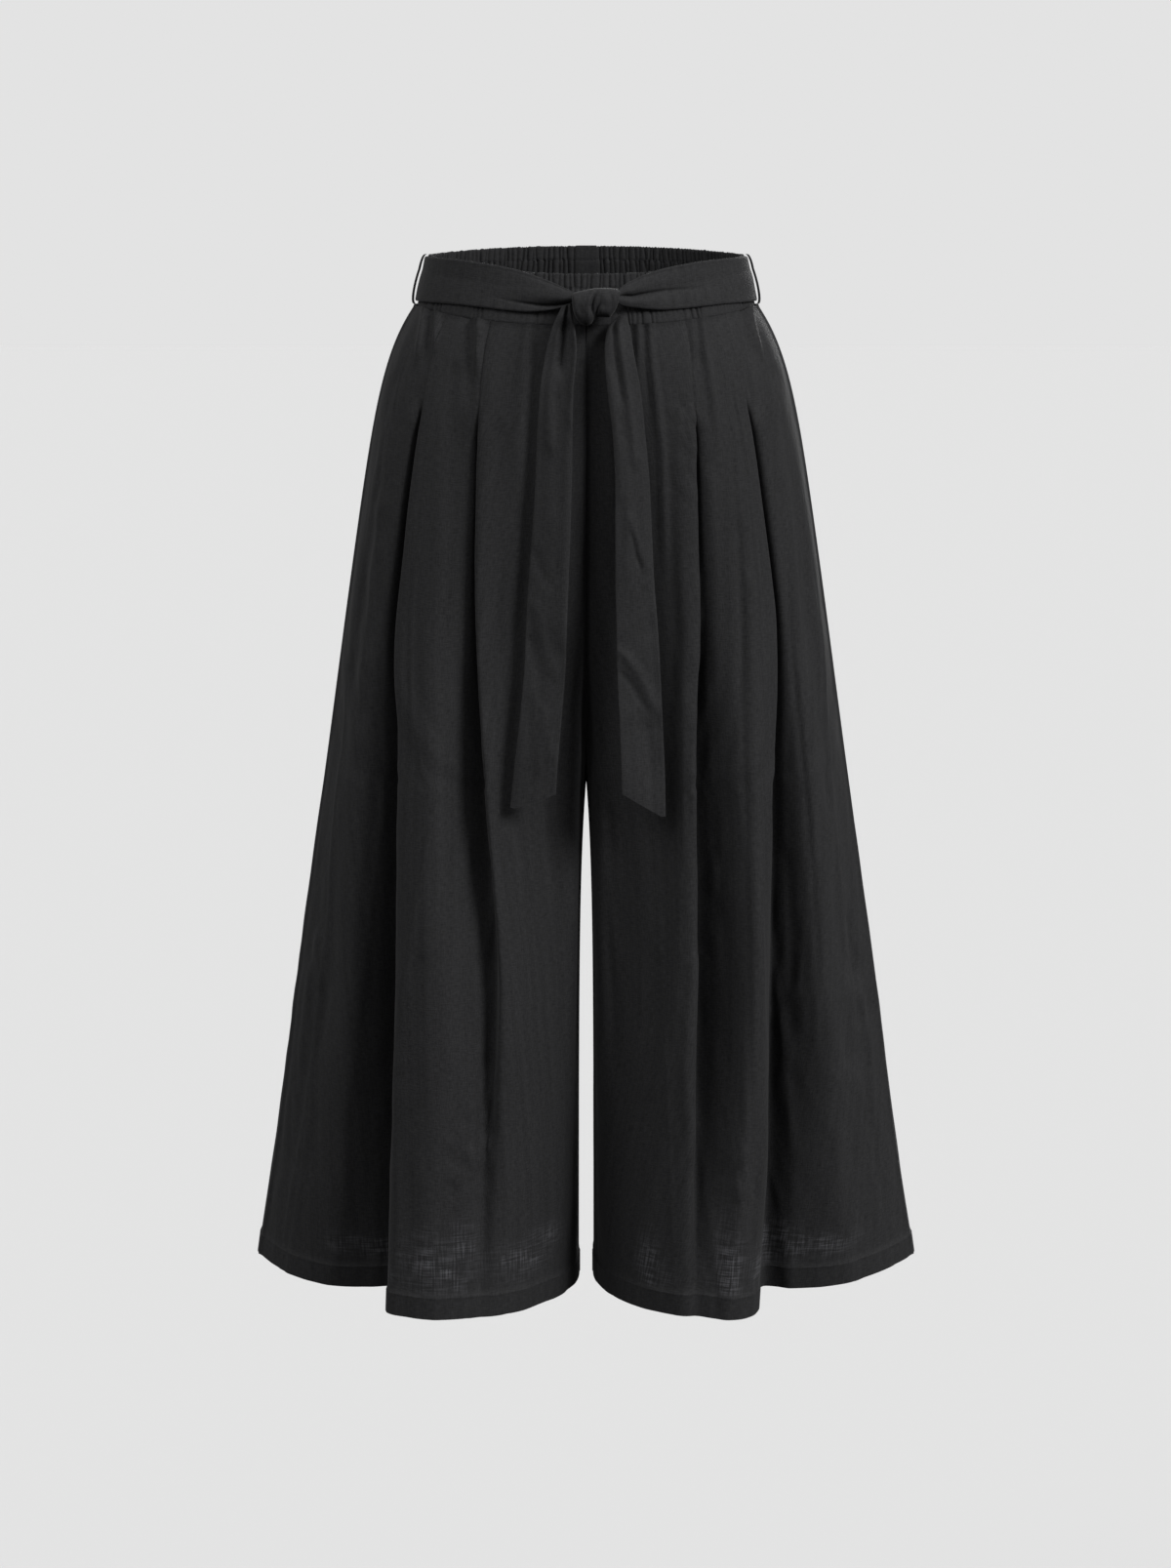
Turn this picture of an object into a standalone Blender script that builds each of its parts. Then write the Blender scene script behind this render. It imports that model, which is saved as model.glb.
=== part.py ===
"""Wide linen culotte in the hakama style, hollow, in the shape it has when worn.

All sizes are in millimetres and become metres when a mesh is made. The origin is the middle of
the waist, halfway up the waistband. +X is the viewer's right, the front faces -Y, +Z is up.
Left and right are the viewer's. In the tables `out` is the distance from the middle plane to
either side and `fwd` is the distance forward of the side seams, so the back has negative values.
"""

import math
from collections import namedtuple

import bpy
import numpy as np

MM = 0.001

# Cloth
CLOTH = 1.2              # wall of one layer of linen
SEAM_GAP = 0.3           # between pieces that are sewn together
HEM_TURN = 20            # height of the turned-up hem
HEM_CLOTH = 2.4          # wall where the hem is doubled
LEAST_SLANT = 0.4        # a wall cut at a slant by a seam is lengthened by 1 / 0.4 at most
LEAST_BEND = 0.6         # and one at a bend by 1 / 0.6 at most

# Waist
WAIST_SEAM = -21
BAND_TOP = 22            # heights of the waistband above and below the origin
BAND_STITCH = 9.5
BAND_HEIGHTS = (BAND_TOP, BAND_STITCH, WAIST_SEAM)
BAND_BREADTHS = (134, 135.5, 144)    # half breadths at those heights
BAND_WALL = 3.0
BAND_PINCH = 0.35        # the stitch line draws each face in by this much
GATHERS_PER_HALF = 44
GATHER_POINTS = 3        # mesh points per gather: its groove and two on its crest
GATHER_RISE = 1.1        # from a groove of the waistband to its crest, on each face
BACK_FLAT = 20           # ungathered stretch at the centre back
FRONT_DIP = 15           # the waist dips at the front and rises at the back
BACK_LIFT = 7
RING_POWER = 2.3         # 2 is an ellipse, more is squarer

# Body
RELEASE = -85            # where the stitched-down pleats open
HIP = -260
CROTCH = -415
KNEE = -600
SHIN = -740
HEM = -873
HEIGHTS = (WAIST_SEAM, RELEASE, HIP, CROTCH, KNEE, SHIN, HEM)
SIDE_HITCH = 11          # the hem is this much higher at the side seam
HITCH_SPAN = (190, 290)  # the hem rises between these distances out
LEG_GAP = 8              # half the gap between the legs at the hem
LEG_GAP_DROP = 130       # fall over which the gap opens
ROW_HEIGHTS = (
    -21.3, -45, -85, -130, -190, -250, -305, -350, -385, -405, CROTCH,
    -460, -540, KNEE, -670, SHIN, -800, HEM + HEM_TURN + 1, HEM + HEM_TURN, HEM,
)
PANEL_GATHER = 1.3       # waves of the panels at the waist seam, gone at the release

# Colours of the linen, linear
LINEN = (0.022, 0.022, 0.024, 1.0)
SASH_LINEN = (0.026, 0.026, 0.028, 1.0)
LINEN_ROUGHNESS = 0.86

# A line runs down a panel from the waist to the hem. `steps` is the number of mesh columns
# to the next line. `out` is at the seven HEIGHTS, `fwd` at the last six: at the waist seam
# every line lies on the waist ring.
Line = namedtuple("Line", "name steps out fwd")

FRONT_LEFT_LINES = (
    #  name, steps,              waist release hip crotch knee shin hem, release hip crotch knee shin hem
    Line("inner corner", 1, (18, 20, 18, 8, 12, 15, 19), (116, 111, 94, 88, 74, 56)),
    Line("inner front", 2, (35, 36, 38, 34, 28, 25, 23), (115, 112, 106, 100, 88, 69)),
    Line("column inner edge", 1, (49, 58, 64, 62, 51, 39, 30), (113, 120, 124, 122, 105, 82)),
    Line("column middle", 1, (60, 72, 78, 73, 62, 57, 56), (112, 123, 132, 136, 127, 114)),
    Line("inner pleat fold", 1, (77, 86, 91, 83, 71, 74, 80), (109, 121, 133, 137, 134, 131)),
    Line("inner pleat bottom", 1, (78, 87, 90, 82, 73, 79, 90), (103, 111, 109, 113, 127, 134)),
    Line("inner pleat bank", 2, (81, 90, 95, 101, 94, 93, 101), (106, 115, 119, 126, 133, 137)),
    Line("panel crest", 2, (97, 110, 124, 128, 132, 131, 131), (99, 112, 130, 138, 142, 142)),
    Line("panel outer", 1, (106, 124, 145, 148, 152, 154, 156), (92, 102, 120, 130, 132, 133)),
    Line("outer pleat fold", 1, (114, 133, 157, 161, 166, 170, 174), (86, 94, 108, 118, 120, 121)),
    Line("outer pleat bottom", 2, (114.5, 133, 155, 157, 160, 162, 165), (80, 83, 80, 72, 62, 52)),
    Line("outer pleat bank", 2, (117, 136, 162, 174, 188, 194, 200), (83, 85, 82, 72, 59, 46)),
    Line("side ridge", 1, (128, 152, 180, 198, 211, 225, 240), (69, 72, 74, 70, 56, 42)),
    Line("side hollow", 1, (132, 158, 188, 208, 226, 240, 255), (60, 58, 58, 50, 42, 32)),
    Line("side crest", 2, (137, 165, 194, 214, 238, 253, 270), (50, 50, 46, 34, 25, 14)),
    Line("side seam", 1, (143, 171, 201, 223, 250, 269, 290), (15, 16, 18, 12, -1, -15)),
)
FRONT_RIGHT_LINES = (
    #  name, steps,              waist release hip crotch knee shin hem, release hip crotch knee shin hem
    Line("inner corner", 1, (18, 20, 18, 8, 11, 13, 15), (116, 111, 94, 88, 70, 50)),
    Line("inner front", 2, (33, 35, 38, 36, 34, 33, 32), (115, 112, 106, 102, 96, 86)),
    Line("column inner edge", 1, (50, 61, 69, 74, 63, 56, 52), (113, 118, 124, 126, 121, 112)),
    Line("column middle", 1, (62, 74, 81, 82, 76, 71, 67), (112, 123, 133, 137, 131, 122)),
    Line("inner pleat fold", 1, (80, 87, 92, 90, 91, 88, 84), (109, 121, 133, 139, 136, 131)),
    Line("inner pleat bottom", 1, (81, 88, 91, 89, 92, 92, 94), (103, 111, 110, 115, 127, 136)),
    Line("inner pleat bank", 2, (84, 91, 101, 108, 118, 115, 109), (106, 113, 117, 124, 134, 141)),
    Line("panel crest", 2, (102, 116, 130, 137, 141, 133, 121), (96, 109, 126, 136, 141, 143)),
    Line("panel outer", 1, (108, 125, 146, 154, 155, 147, 136), (91, 101, 114, 126, 132, 136)),
    Line("outer pleat fold", 1, (115, 131, 156, 159, 162, 156, 147), (86, 93, 104, 112, 116, 119)),
    Line("outer pleat bottom", 2, (115.5, 131, 154, 158, 165, 163, 160), (80, 83, 82, 72, 60, 50)),
    Line("outer pleat bank", 2, (118, 134, 160, 171, 183, 186, 187), (84, 86, 80, 68, 57, 49)),
    Line("side ridge", 1, (129, 150, 175, 192, 208, 219, 228), (71, 75, 79, 74, 58, 41)),
    Line("side hollow", 1, (133, 157, 185, 205, 224, 235, 246), (61, 60, 60, 52, 41, 29)),
    Line("side crest", 2, (138, 165, 194, 212, 236, 250, 266), (50, 50, 47, 34, 24, 13)),
    Line("side seam", 1, (143, 171, 201, 223, 250, 269, 290), (15, 16, 18, 12, -1, -15)),
)
BACK_LINES = (
    #  name, steps,              waist release hip crotch knee shin hem, release hip crotch knee shin hem
    Line("widest", 2, (143.9, 172, 203, 226, 253, 272.5, 292.5), (-7, -8, -10, -14, -20, -28)),
    Line("side crest", 3, (134, 161, 193, 216, 244, 262, 280), (-56, -62, -66, -74, -80, -86)),
    Line("side hollow", 3, (119, 144, 172, 192, 214, 227, 240), (-82, -84, -82, -82, -82, -82)),
    Line("outer crest", 3, (103, 124, 150, 170, 190, 201, 212), (-100, -112, -118, -126, -129, -132)),
    Line("outer hollow", 3, (88, 106, 128, 144, 158, 165, 172), (-106, -109, -106, -104, -102, -100)),
    Line("middle crest", 3, (72, 88, 106, 118, 130, 136, 142), (-114, -126, -132, -140, -143, -146)),
    Line("middle hollow", 3, (57, 68, 82, 92, 100, 103, 106), (-114, -114, -110, -110, -110, -110)),
    Line("inner crest", 2, (42, 50, 60, 66, 70, 70, 70), (-117, -126, -130, -134, -134, -134)),
    Line("inner back", 1, (27, 31, 34, 34, 34, 34, 34), (-116, -116, -112, -108, -104, -100)),
    Line("inner corner", 1, (14, 15, 14, 9, 12, 15, 17), (-115, -114, -96, -88, -76, -62)),
)
INNER_WALL_SHARE = 0.2   # the wall line lies this far from the seam towards the inner corner
FRONT_RISE = (108, 115, 112, -230)   # fwd of the seam at waist, release and start of its curve
BACK_RISE = (105, 115, 117, -205)
RISE_POWERS = (2.2, 1.8)

# Sash
SASH_CLOTH = 1.5
SASH_CLEAR = 0.5         # between the crests of the waistband and the sash
KNOT_CENTRE = (8, -122.5, -20.5)
KNOT_HALF = (19.7, 11.0, 14.6)
KNOT_POWER = 2.6
KNOT_CREASE = (11.5, 3.2, 5.0)   # place across, depth and half width of the front crease
KNOT_RINGS = 14
KNOT_SIDES = 22

# A station of the sash, from the knot to the side seam: how far out, heights of its edges, how
# far it lifts off the waistband and how far its two soft lobes stand out.
Station = namedtuple("Station", "out top bottom lift lobe")

SASH_LEFT = (
    Station(9.9, -8.5, -16.5, 9.0, 2.4),
    Station(22, -3.5, -22, 5.0, 3.2),
    Station(41, 3.3, -25, 1.6, 2.6),
    Station(81, 13.5, -22, 0.4, 0.8),
    Station(144, 20, -17, 0.0, 0.0),
)
SASH_RIGHT = (
    Station(25.9, -8.5, -17.5, 8.6, 2.4),
    Station(40, 1, -21, 3.6, 3.2),
    Station(60, 9, -23, 1.2, 2.0),
    Station(81, 13, -22, 0.4, 0.8),
    Station(144, 20, -17, 0.0, 0.0),
)
SASH_BACK_EDGES = (26, -12)      # heights of the edges at the centre back
SASH_FRONT_POINTS = 45
SASH_BACK_POINTS = 33
SASH_FIRST_STEP = 4              # least distance from the knot's side to the next station
SASH_ACROSS = (0.0, 0.27, 0.52, 0.77, 1.0)
SASH_LOBES = (0.0, 1.0, 0.15, 1.0, 0.0)

# A row of a free end: height, its edges left and right of the middle, how far forward, and
# how far its middle stands forward of its edges.
TailRow = namedtuple("TailRow", "height left right fwd bow")

TAIL_LEFT = (
    TailRow(-19, -19.5, -12.3, 120, 1.0),
    TailRow(-27, -23.5, -11.4, 121, 2.5),
    TailRow(-38, -28.0, -9.0, 123, -4.5),
    TailRow(-55, -32.5, -7.6, 124, -5.0),
    TailRow(-87, -37.6, -10.2, 127, -2.0),
    TailRow(-130, -40.5, -11.2, 129, 1.5),
    TailRow(-190, -43.6, -12.6, 132, 2.0),
    TailRow(-247, -47.6, -14.4, 134, 1.5),
    TailRow(-310, -51.0, -17.0, 137, -1.5),
    TailRow(-370, -56.6, -21.4, 140, 1.5),
    TailRow(-420, -63.0, -24.8, 142, 1.0),
)
TAIL_RIGHT = (
    TailRow(-27.5, 26.3, 33.0, 117, 1.0),
    TailRow(-38, 17.3, 36.0, 120, 2.5),
    TailRow(-55, 15.0, 38.6, 124, 2.5),
    TailRow(-87, 17.4, 44.6, 127, 1.5),
    TailRow(-130, 22.2, 49.2, 129, 1.5),
    TailRow(-190, 24.0, 53.6, 132, 1.5),
    TailRow(-247, 24.4, 56.6, 134, 2.0),
    TailRow(-310, 25.6, 61.0, 137, 1.0),
    TailRow(-370, 28.2, 64.0, 140, -1.5),
    TailRow(-420, 29.6, 66.2, 142, 1.0),
)
TAIL_ACROSS = 6
TAIL_SLANT_LEFT = (-15, 0)       # drop of the left and the right corner of the cut end
TAIL_SLANT_RIGHT = (0, -17)
TAIL_CLOTH = 1.5

# Belt carriers
LOOP_WIDTH = 8
LOOP_CLOTH = 1.2
LOOP_STAND = 2.6         # the carrier's middle stands this far off the sash
LOOP_ROWS = 9
LOOP_POWER = 0.25        # how square the carrier's arch is


def smooth_through(keys, values, at):
    """Monotone cubic through (keys, values), read at one place; keys may fall or rise."""
    keys = np.asarray(keys, float)
    values = np.asarray(values, float)
    if keys[0] > keys[-1]:
        keys, values = keys[::-1], values[::-1]
    at = min(max(at, keys[0]), keys[-1])
    span = np.diff(keys)
    slope = np.diff(values) / span
    tangent = np.zeros(len(keys))
    for i in range(1, len(keys) - 1):
        if slope[i - 1] * slope[i] > 0:
            before = 2 * span[i] + span[i - 1]
            after = span[i] + 2 * span[i - 1]
            tangent[i] = (before + after) / (before / slope[i - 1] + after / slope[i])
    tangent[0] = slope[0]
    tangent[-1] = slope[-1]
    i = min(int(np.searchsorted(keys, at, side="right")) - 1, len(span) - 1)
    t = (at - keys[i]) / span[i]
    return float(
        (2 * t**3 - 3 * t**2 + 1) * values[i]
        + (t**3 - 2 * t**2 + t) * span[i] * tangent[i]
        + (3 * t**2 - 2 * t**3) * values[i + 1]
        + (t**3 - t**2) * span[i] * tangent[i + 1]
    )


def half_breadth(height):
    """Half of the garment's breadth from the front, which flares fast and then evenly."""
    fall = WAIST_SEAM - height
    return 167.3 + 0.148 * fall - 23.3 * math.exp(-fall / 40)


def front_depth(height):
    """How far forward of the side seams the plain front of the body would lie."""
    fall = WAIST_SEAM - height
    return 119 + 0.031 * fall - 11 * math.exp(-fall / 40)


def ring_share(share):
    """Depth of the rounded waist ring, as a share of its full depth, at a share of its breadth."""
    return (1 - min(share, 1.0) ** RING_POWER) ** (1 / RING_POWER)


def tilt(fwd):
    """How far the waist dips at the front or lifts at the back."""
    if fwd > 0:
        return -FRONT_DIP * (fwd / FRONT_RISE[0]) ** 2
    return BACK_LIFT * (fwd / BACK_RISE[0]) ** 2


def rise(height, seam):
    """Distance of the centre seam from the middle plane, down to nothing at the crotch."""
    waist, release, full, start = seam
    if height > start:
        return smooth_through((WAIST_SEAM, RELEASE, start), (waist, release, full), height)
    share = min((start - height) / (start - CROTCH), 1.0)
    return full * (1 - share ** RISE_POWERS[0]) ** (1 / RISE_POWERS[1])


def leg_gap(height):
    """Half of the gap between the inseams."""
    return LEG_GAP * (1 - math.exp(-max(CROTCH - height, 0) / LEG_GAP_DROP))


def line_place(line, height, ring_depth):
    """(out, fwd) of one line at a height."""
    outs = [out / half_breadth(h) for out, h in zip(line.out, HEIGHTS)]
    sign = math.copysign(1, line.fwd[1])
    at_waist = sign * ring_depth * ring_share(outs[0])
    fwds = [fwd / front_depth(h) for fwd, h in zip((at_waist, *line.fwd), HEIGHTS)]
    out = smooth_through(HEIGHTS, outs, height) * half_breadth(height)
    return out, smooth_through(HEIGHTS, fwds, height) * front_depth(height)


def half_section(height, front_lines):
    """Places and steps round one half of the body, from the front seam to the back seam."""
    seam_out = leg_gap(height) + SEAM_GAP / 2
    front_seam = (seam_out, max(rise(height, FRONT_RISE), SEAM_GAP / 2))
    back_seam = (seam_out, min(-rise(height, BACK_RISE), -SEAM_GAP / 2))
    front = [line_place(line, height, FRONT_RISE[0]) for line in front_lines]
    back = [line_place(line, height, BACK_RISE[0]) for line in BACK_LINES]
    front_wall = between(front_seam, front[0], (INNER_WALL_SHARE, 0.5))
    back_wall = between(back_seam, back[-1], (INNER_WALL_SHARE, 0.5))
    places = [front_seam, front_wall, *front, *back, back_wall, back_seam]
    steps = [1, 1, *(line.steps for line in front_lines), *(line.steps for line in BACK_LINES), 1]
    return np.array(places), steps


def between(start, end, shares):
    return tuple(a + (b - a) * share for a, b, share in zip(start, end, shares))


def curve_between(before, start, end, after, share):
    """Centripetal Catmull-Rom curve from start to end."""
    knots = [0.0]
    points = (before, start, end, after)
    for a, b in zip(points, points[1:]):
        knots.append(knots[-1] + max(math.hypot(*(b - a)), 1e-6) ** 0.5)
    k0, k1, k2, k3 = knots
    t = k1 + (k2 - k1) * share
    a1 = (k1 - t) / (k1 - k0) * before + (t - k0) / (k1 - k0) * start
    a2 = (k2 - t) / (k2 - k1) * start + (t - k1) / (k2 - k1) * end
    a3 = (k3 - t) / (k3 - k2) * end + (t - k2) / (k3 - k2) * after
    b1 = (k2 - t) / (k2 - k0) * a1 + (t - k0) / (k2 - k0) * a2
    b2 = (k3 - t) / (k3 - k1) * a2 + (t - k1) / (k3 - k1) * a3
    return (k2 - t) / (k2 - k1) * b1 + (t - k1) / (k2 - k1) * b2


def half_ring(height, front_lines):
    """Outer and inner (out, fwd) points of one half of the body, and the side seam's index."""
    places, steps = half_section(height, front_lines)
    legs_apart = height <= CROTCH
    if legs_apart:
        ghosts = (places[-2], places[1])
    else:
        ghosts = (places[1] * (-1, 1), places[-2] * (-1, 1))
    chain = np.vstack([ghosts[:1], places, ghosts[1:]])
    points = []
    for i, count in enumerate(steps, start=1):
        for step in range(count):
            points.append(curve_between(*chain[i - 1 : i + 3], step / count))
    points.append(places[-1])
    seam = sum(steps[: len(front_lines) + 1])
    outer = np.array(points)
    fade = max(0.0, 1 - (WAIST_SEAM - height) / (WAIST_SEAM - RELEASE))
    normals = plan_normals(np.vstack([ghosts[:1], outer, ghosts[1:]]))
    wave = np.where(np.arange(len(outer)) % 2, 1.0, -1.0) * PANEL_GATHER * fade
    wave[[0, seam, -1]] = 0
    outer = outer + normals * wave[:, None]
    wall = CLOTH if height > HEM + HEM_TURN else HEM_CLOTH
    shift = wall_shift(np.vstack([ghosts[:1], outer, ghosts[1:]]), wall)
    if not legs_apart:
        for end in (0, -1):
            slant = max(abs(normals[end, 1]), LEAST_SLANT)
            shift[end] = (0, wall / slant * np.sign(outer[end, 1]))
    return outer, outer - shift, seam


def plan_normals(chain):
    """Outward unit normals at the inner points of a chain of (out, fwd) points."""
    along = chain[2:] - chain[:-2]
    normals = np.column_stack([along[:, 1], -along[:, 0]]) * -1
    return normals / np.linalg.norm(normals, axis=1)[:, None]


def wall_shift(chain, wall):
    """Shifts from the outer to the inner face, lengthened at bends so the wall keeps its size."""
    edges = np.diff(chain, axis=0)
    edges /= np.maximum(np.linalg.norm(edges, axis=1), 1e-9)[:, None]
    sides = np.column_stack([-edges[:, 1], edges[:, 0]])
    bisector = sides[:-1] + sides[1:]
    bisector /= np.maximum(np.linalg.norm(bisector, axis=1), 1e-9)[:, None]
    lengthen = 1 / np.maximum((bisector * sides[1:]).sum(axis=1), LEAST_BEND)
    return bisector * (wall * lengthen)[:, None]


def hem_hitch(out):
    start, end = HITCH_SPAN
    share = min(max((out - start) / (end - start), 0.0), 1.0)
    return SIDE_HITCH * share * share


def lifted(height, plan):
    """Real height of a plan point, with the waist's tilt and the hem's hitch."""
    down = (WAIST_SEAM - height) / (WAIST_SEAM - HEM)
    return height + tilt(plan[1]) * (1 - down) ** 3 + hem_hitch(plan[0]) * down**3


def panel_grids(front_lines, side):
    """Outer and inner point grids of the front and the back panel of one half."""
    grids = {"front": ([], []), "back": ([], [])}
    for height in ROW_HEIGHTS:
        outer, inner, seam = half_ring(height, front_lines)
        along = outer[seam + 1] - outer[seam - 1]
        along *= SEAM_GAP / 2 / np.linalg.norm(along)
        spans = {"front": (slice(0, seam + 1), -1, -along), "back": (slice(seam, None), 0, along)}
        for name, (span, end, trim) in spans.items():
            for face, points in enumerate((outer, inner)):
                row = points[span].copy()
                row[end] += trim
                heights = [lifted(height, plan) for plan in outer[span]]
                grids[name][face].append(
                    [(side * out, -fwd, z) for (out, fwd), z in zip(row, heights)]
                )
    return grids


def closed_wall(name, outer, inner, material, faces_out):
    """A closed wall from two grids of the same size, rows from the top down."""
    outer = np.array(outer, float)
    inner = np.array(inner, float)
    rows, columns = outer.shape[:2]
    points = np.concatenate([outer.reshape(-1, 3), inner.reshape(-1, 3)]) * MM
    behind = rows * columns

    def at(row, column):
        return row * columns + column

    faces = []
    for r in range(rows - 1):
        for c in range(columns - 1):
            faces.append((at(r, c), at(r + 1, c), at(r + 1, c + 1), at(r, c + 1)))
            inner_quad = (at(r, c), at(r, c + 1), at(r + 1, c + 1), at(r + 1, c))
            faces.append(tuple(behind + v for v in inner_quad))
    for r in range(rows - 1):
        for c, (a, b) in ((0, (r, r + 1)), (columns - 1, (r + 1, r))):
            faces.append((at(a, c), behind + at(a, c), behind + at(b, c), at(b, c)))
    for c in range(columns - 1):
        for r, (a, b) in ((0, (c + 1, c)), (rows - 1, (c, c + 1))):
            faces.append((at(r, a), behind + at(r, a), behind + at(r, b), at(r, b)))
    if not faces_out:
        faces = [(face[0], *reversed(face[1:])) for face in faces]
    add_object(name, points, faces, material)


def add_object(name, points, faces, material):
    mesh = bpy.data.meshes.new(name)
    mesh.from_pydata([tuple(point) for point in points], [], faces)
    mesh.materials.append(material)
    mesh.shade_smooth()
    mesh.set_sharp_from_angle(angle=math.radians(50))
    obj = bpy.data.objects.new(name, mesh)
    bpy.context.scene.collection.objects.link(obj)


def cloth_material(name, colour):
    material = bpy.data.materials.new(name)
    material.use_nodes = True
    shader = material.node_tree.nodes["Principled BSDF"]
    shader.inputs["Base Color"].default_value = colour
    shader.inputs["Roughness"].default_value = LINEN_ROUGHNESS
    shader.inputs["Metallic"].default_value = 0.0
    return material


def band_breadth(height):
    """Half breadth of the waistband's outer crests."""
    return float(np.interp(height, BAND_HEIGHTS[::-1], BAND_BREADTHS[::-1]))


def ring_points(count, front):
    """Plan points evenly spaced along the front or back half of the ring, at full size 1."""
    angles = np.linspace(0, math.pi, 721)
    power = 2 / RING_POWER
    xs = -np.sign(np.cos(angles)) * np.abs(np.cos(angles)) ** power * half_breadth(WAIST_SEAM)
    depth = FRONT_RISE[0] if front else BACK_RISE[0]
    ys = np.abs(np.sin(angles)) ** power * depth * (1 if front else -1)
    length = np.concatenate([[0], np.cumsum(np.hypot(np.diff(xs), np.diff(ys)))])
    at = np.linspace(0, length[-1], count)
    return np.column_stack([np.interp(at, length, xs), np.interp(at, length, ys)])


def build_waistband(name, front, material):
    """Half of the shirred waistband: narrow grooves between rounded gathers, on both faces."""
    count = GATHERS_PER_HALF * GATHER_POINTS
    ring = ring_points(count + 1, front)
    centre = half_breadth(WAIST_SEAM)
    outer, inner = [], []
    for height in (BAND_TOP, BAND_STITCH, WAIST_SEAM + SEAM_GAP / 2):
        scale = band_breadth(height) / centre
        pinch = BAND_PINCH if height == BAND_STITCH else 0.0
        rows = ([], [])
        for i, (x, fwd) in enumerate(ring):
            before, after = ring[max(i - 1, 0)], ring[min(i + 1, count)]
            along = np.array(after) - np.array(before)
            normal = np.array((-along[1], along[0])) / np.linalg.norm(along)
            if not front:
                normal = -normal
            if i in (0, count):
                normal = np.array((math.copysign(1, x), 0.0))
            groove = GATHER_RISE if i % GATHER_POINTS == 0 and 0 < i < count else 0.0
            if not front and abs(x) < BACK_FLAT / 2:
                groove = 0.0
            plan = np.array((x, fwd)) * scale
            for face, depth in enumerate((groove + pinch, BAND_WALL - groove - pinch)):
                place = plan - normal * depth
                y = -place[1]
                if abs(x) > centre - 1e-3:
                    y = -SEAM_GAP / 2 if front else SEAM_GAP / 2
                rows[face].append((place[0], y, height + tilt(fwd)))
        outer.append(rows[0])
        inner.append(rows[1])
    closed_wall(name, outer, inner, material, front)


def sash_front(side, table):
    """Stations from the knot's side to the side seam: plan place, edges, lift and lobe."""
    breadth = half_breadth(WAIST_SEAM)
    outs = [station.out for station in table]
    ring = ring_points(SASH_FRONT_POINTS, True)
    beside = sorted(abs(x) for x, _ in ring if x * side > outs[0] + SASH_FIRST_STEP)
    stations = []
    for out in (outs[0], *beside):
        fields = [smooth_through(outs, values, out) for values in list(zip(*table))[1:]]
        stations.append((side * out, FRONT_RISE[0] * ring_share(out / breadth), *fields))
    return stations


def sash_column(x, fwd, top, bottom, lift, lobe):
    """Outer and inner points across the sash at one place round the waist."""
    outer, inner = [], []
    normal = ring_normal(x, fwd)
    for share, swell in zip(SASH_ACROSS, SASH_LOBES):
        height = top + (bottom - top) * share
        scale = band_breadth(height - tilt(fwd)) / half_breadth(WAIST_SEAM)
        stand = SASH_CLEAR + SASH_CLOTH + lift + lobe * swell
        plan = np.array((x, fwd)) * scale
        for face, depth in ((outer, stand), (inner, stand - SASH_CLOTH)):
            place = plan + normal * depth
            face.append((place[0], -place[1], height))
    return outer, inner


def ring_normal(x, fwd):
    """Outward normal of the waist ring at a plan point on it."""
    a = half_breadth(WAIST_SEAM)
    b = FRONT_RISE[0] if fwd > 0 else BACK_RISE[0]
    normal = np.array(
        (
            math.copysign(abs(x / a) ** (RING_POWER - 1) / a, x),
            math.copysign(abs(fwd / b) ** (RING_POWER - 1) / b, fwd),
        )
    )
    return normal / np.linalg.norm(normal)


def build_sash_band(material):
    """The sash from the knot's left side round the back to the knot's right side."""
    side_edges = SASH_LEFT[-1][1:3]
    stations = sash_front(-1, SASH_LEFT)
    for x, fwd in ring_points(SASH_BACK_POINTS, False)[1:-1]:
        share = (fwd / BACK_RISE[0]) ** 2
        edges = [side + (back - side) * share for side, back in zip(side_edges, SASH_BACK_EDGES)]
        stations.append((x, fwd, *edges, 0.0, 0.0))
    stations += reversed(sash_front(1, SASH_RIGHT))
    columns = [sash_column(*station) for station in stations]
    outer = [[column[0][k] for column in columns] for k in range(len(SASH_ACROSS))]
    inner = [[column[1][k] for column in columns] for k in range(len(SASH_ACROSS))]
    closed_wall("belt_band", outer, inner, material, False)


def build_knot(material):
    """Rounded block of wound sash with a crease down its front; its poles face the two sides."""
    power = 2 / KNOT_POWER
    points = []
    for ring in range(1, KNOT_RINGS):
        across = math.pi * ring / KNOT_RINGS
        x = -math.copysign(abs(math.cos(across)) ** power, math.cos(across))
        reach = math.sin(across) ** power
        for side in range(KNOT_SIDES):
            turn = 2 * math.pi * side / KNOT_SIDES
            y = math.copysign(abs(math.cos(turn)) ** power, -math.cos(turn)) * reach
            z = math.copysign(abs(math.sin(turn)) ** power, math.sin(turn)) * reach
            place = [c + v * h for c, v, h in zip(KNOT_CENTRE, (x, y, z), KNOT_HALF)]
            crease_at, crease_deep, crease_half = KNOT_CREASE
            near = math.exp(-(((place[0] - crease_at) / crease_half) ** 2))
            if y < 0:
                place[1] += crease_deep * near * -y * math.cos(z * math.pi / 2)
            points.append(place)
    left_pole = len(points)
    for sign in (-1, 1):
        points.append([KNOT_CENTRE[0] + sign * KNOT_HALF[0], KNOT_CENTRE[1], KNOT_CENTRE[2]])
    faces = []
    rings = KNOT_RINGS - 1
    for side in range(KNOT_SIDES):
        after = (side + 1) % KNOT_SIDES
        faces.append((left_pole, side, after))
        last = (rings - 1) * KNOT_SIDES
        faces.append((left_pole + 1, last + after, last + side))
        for ring in range(rings - 1):
            here, there = ring * KNOT_SIDES, (ring + 1) * KNOT_SIDES
            faces.append((here + side, there + side, there + after, here + after))
    add_object("belt_knot", np.array(points) * MM, faces, material)


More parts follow.
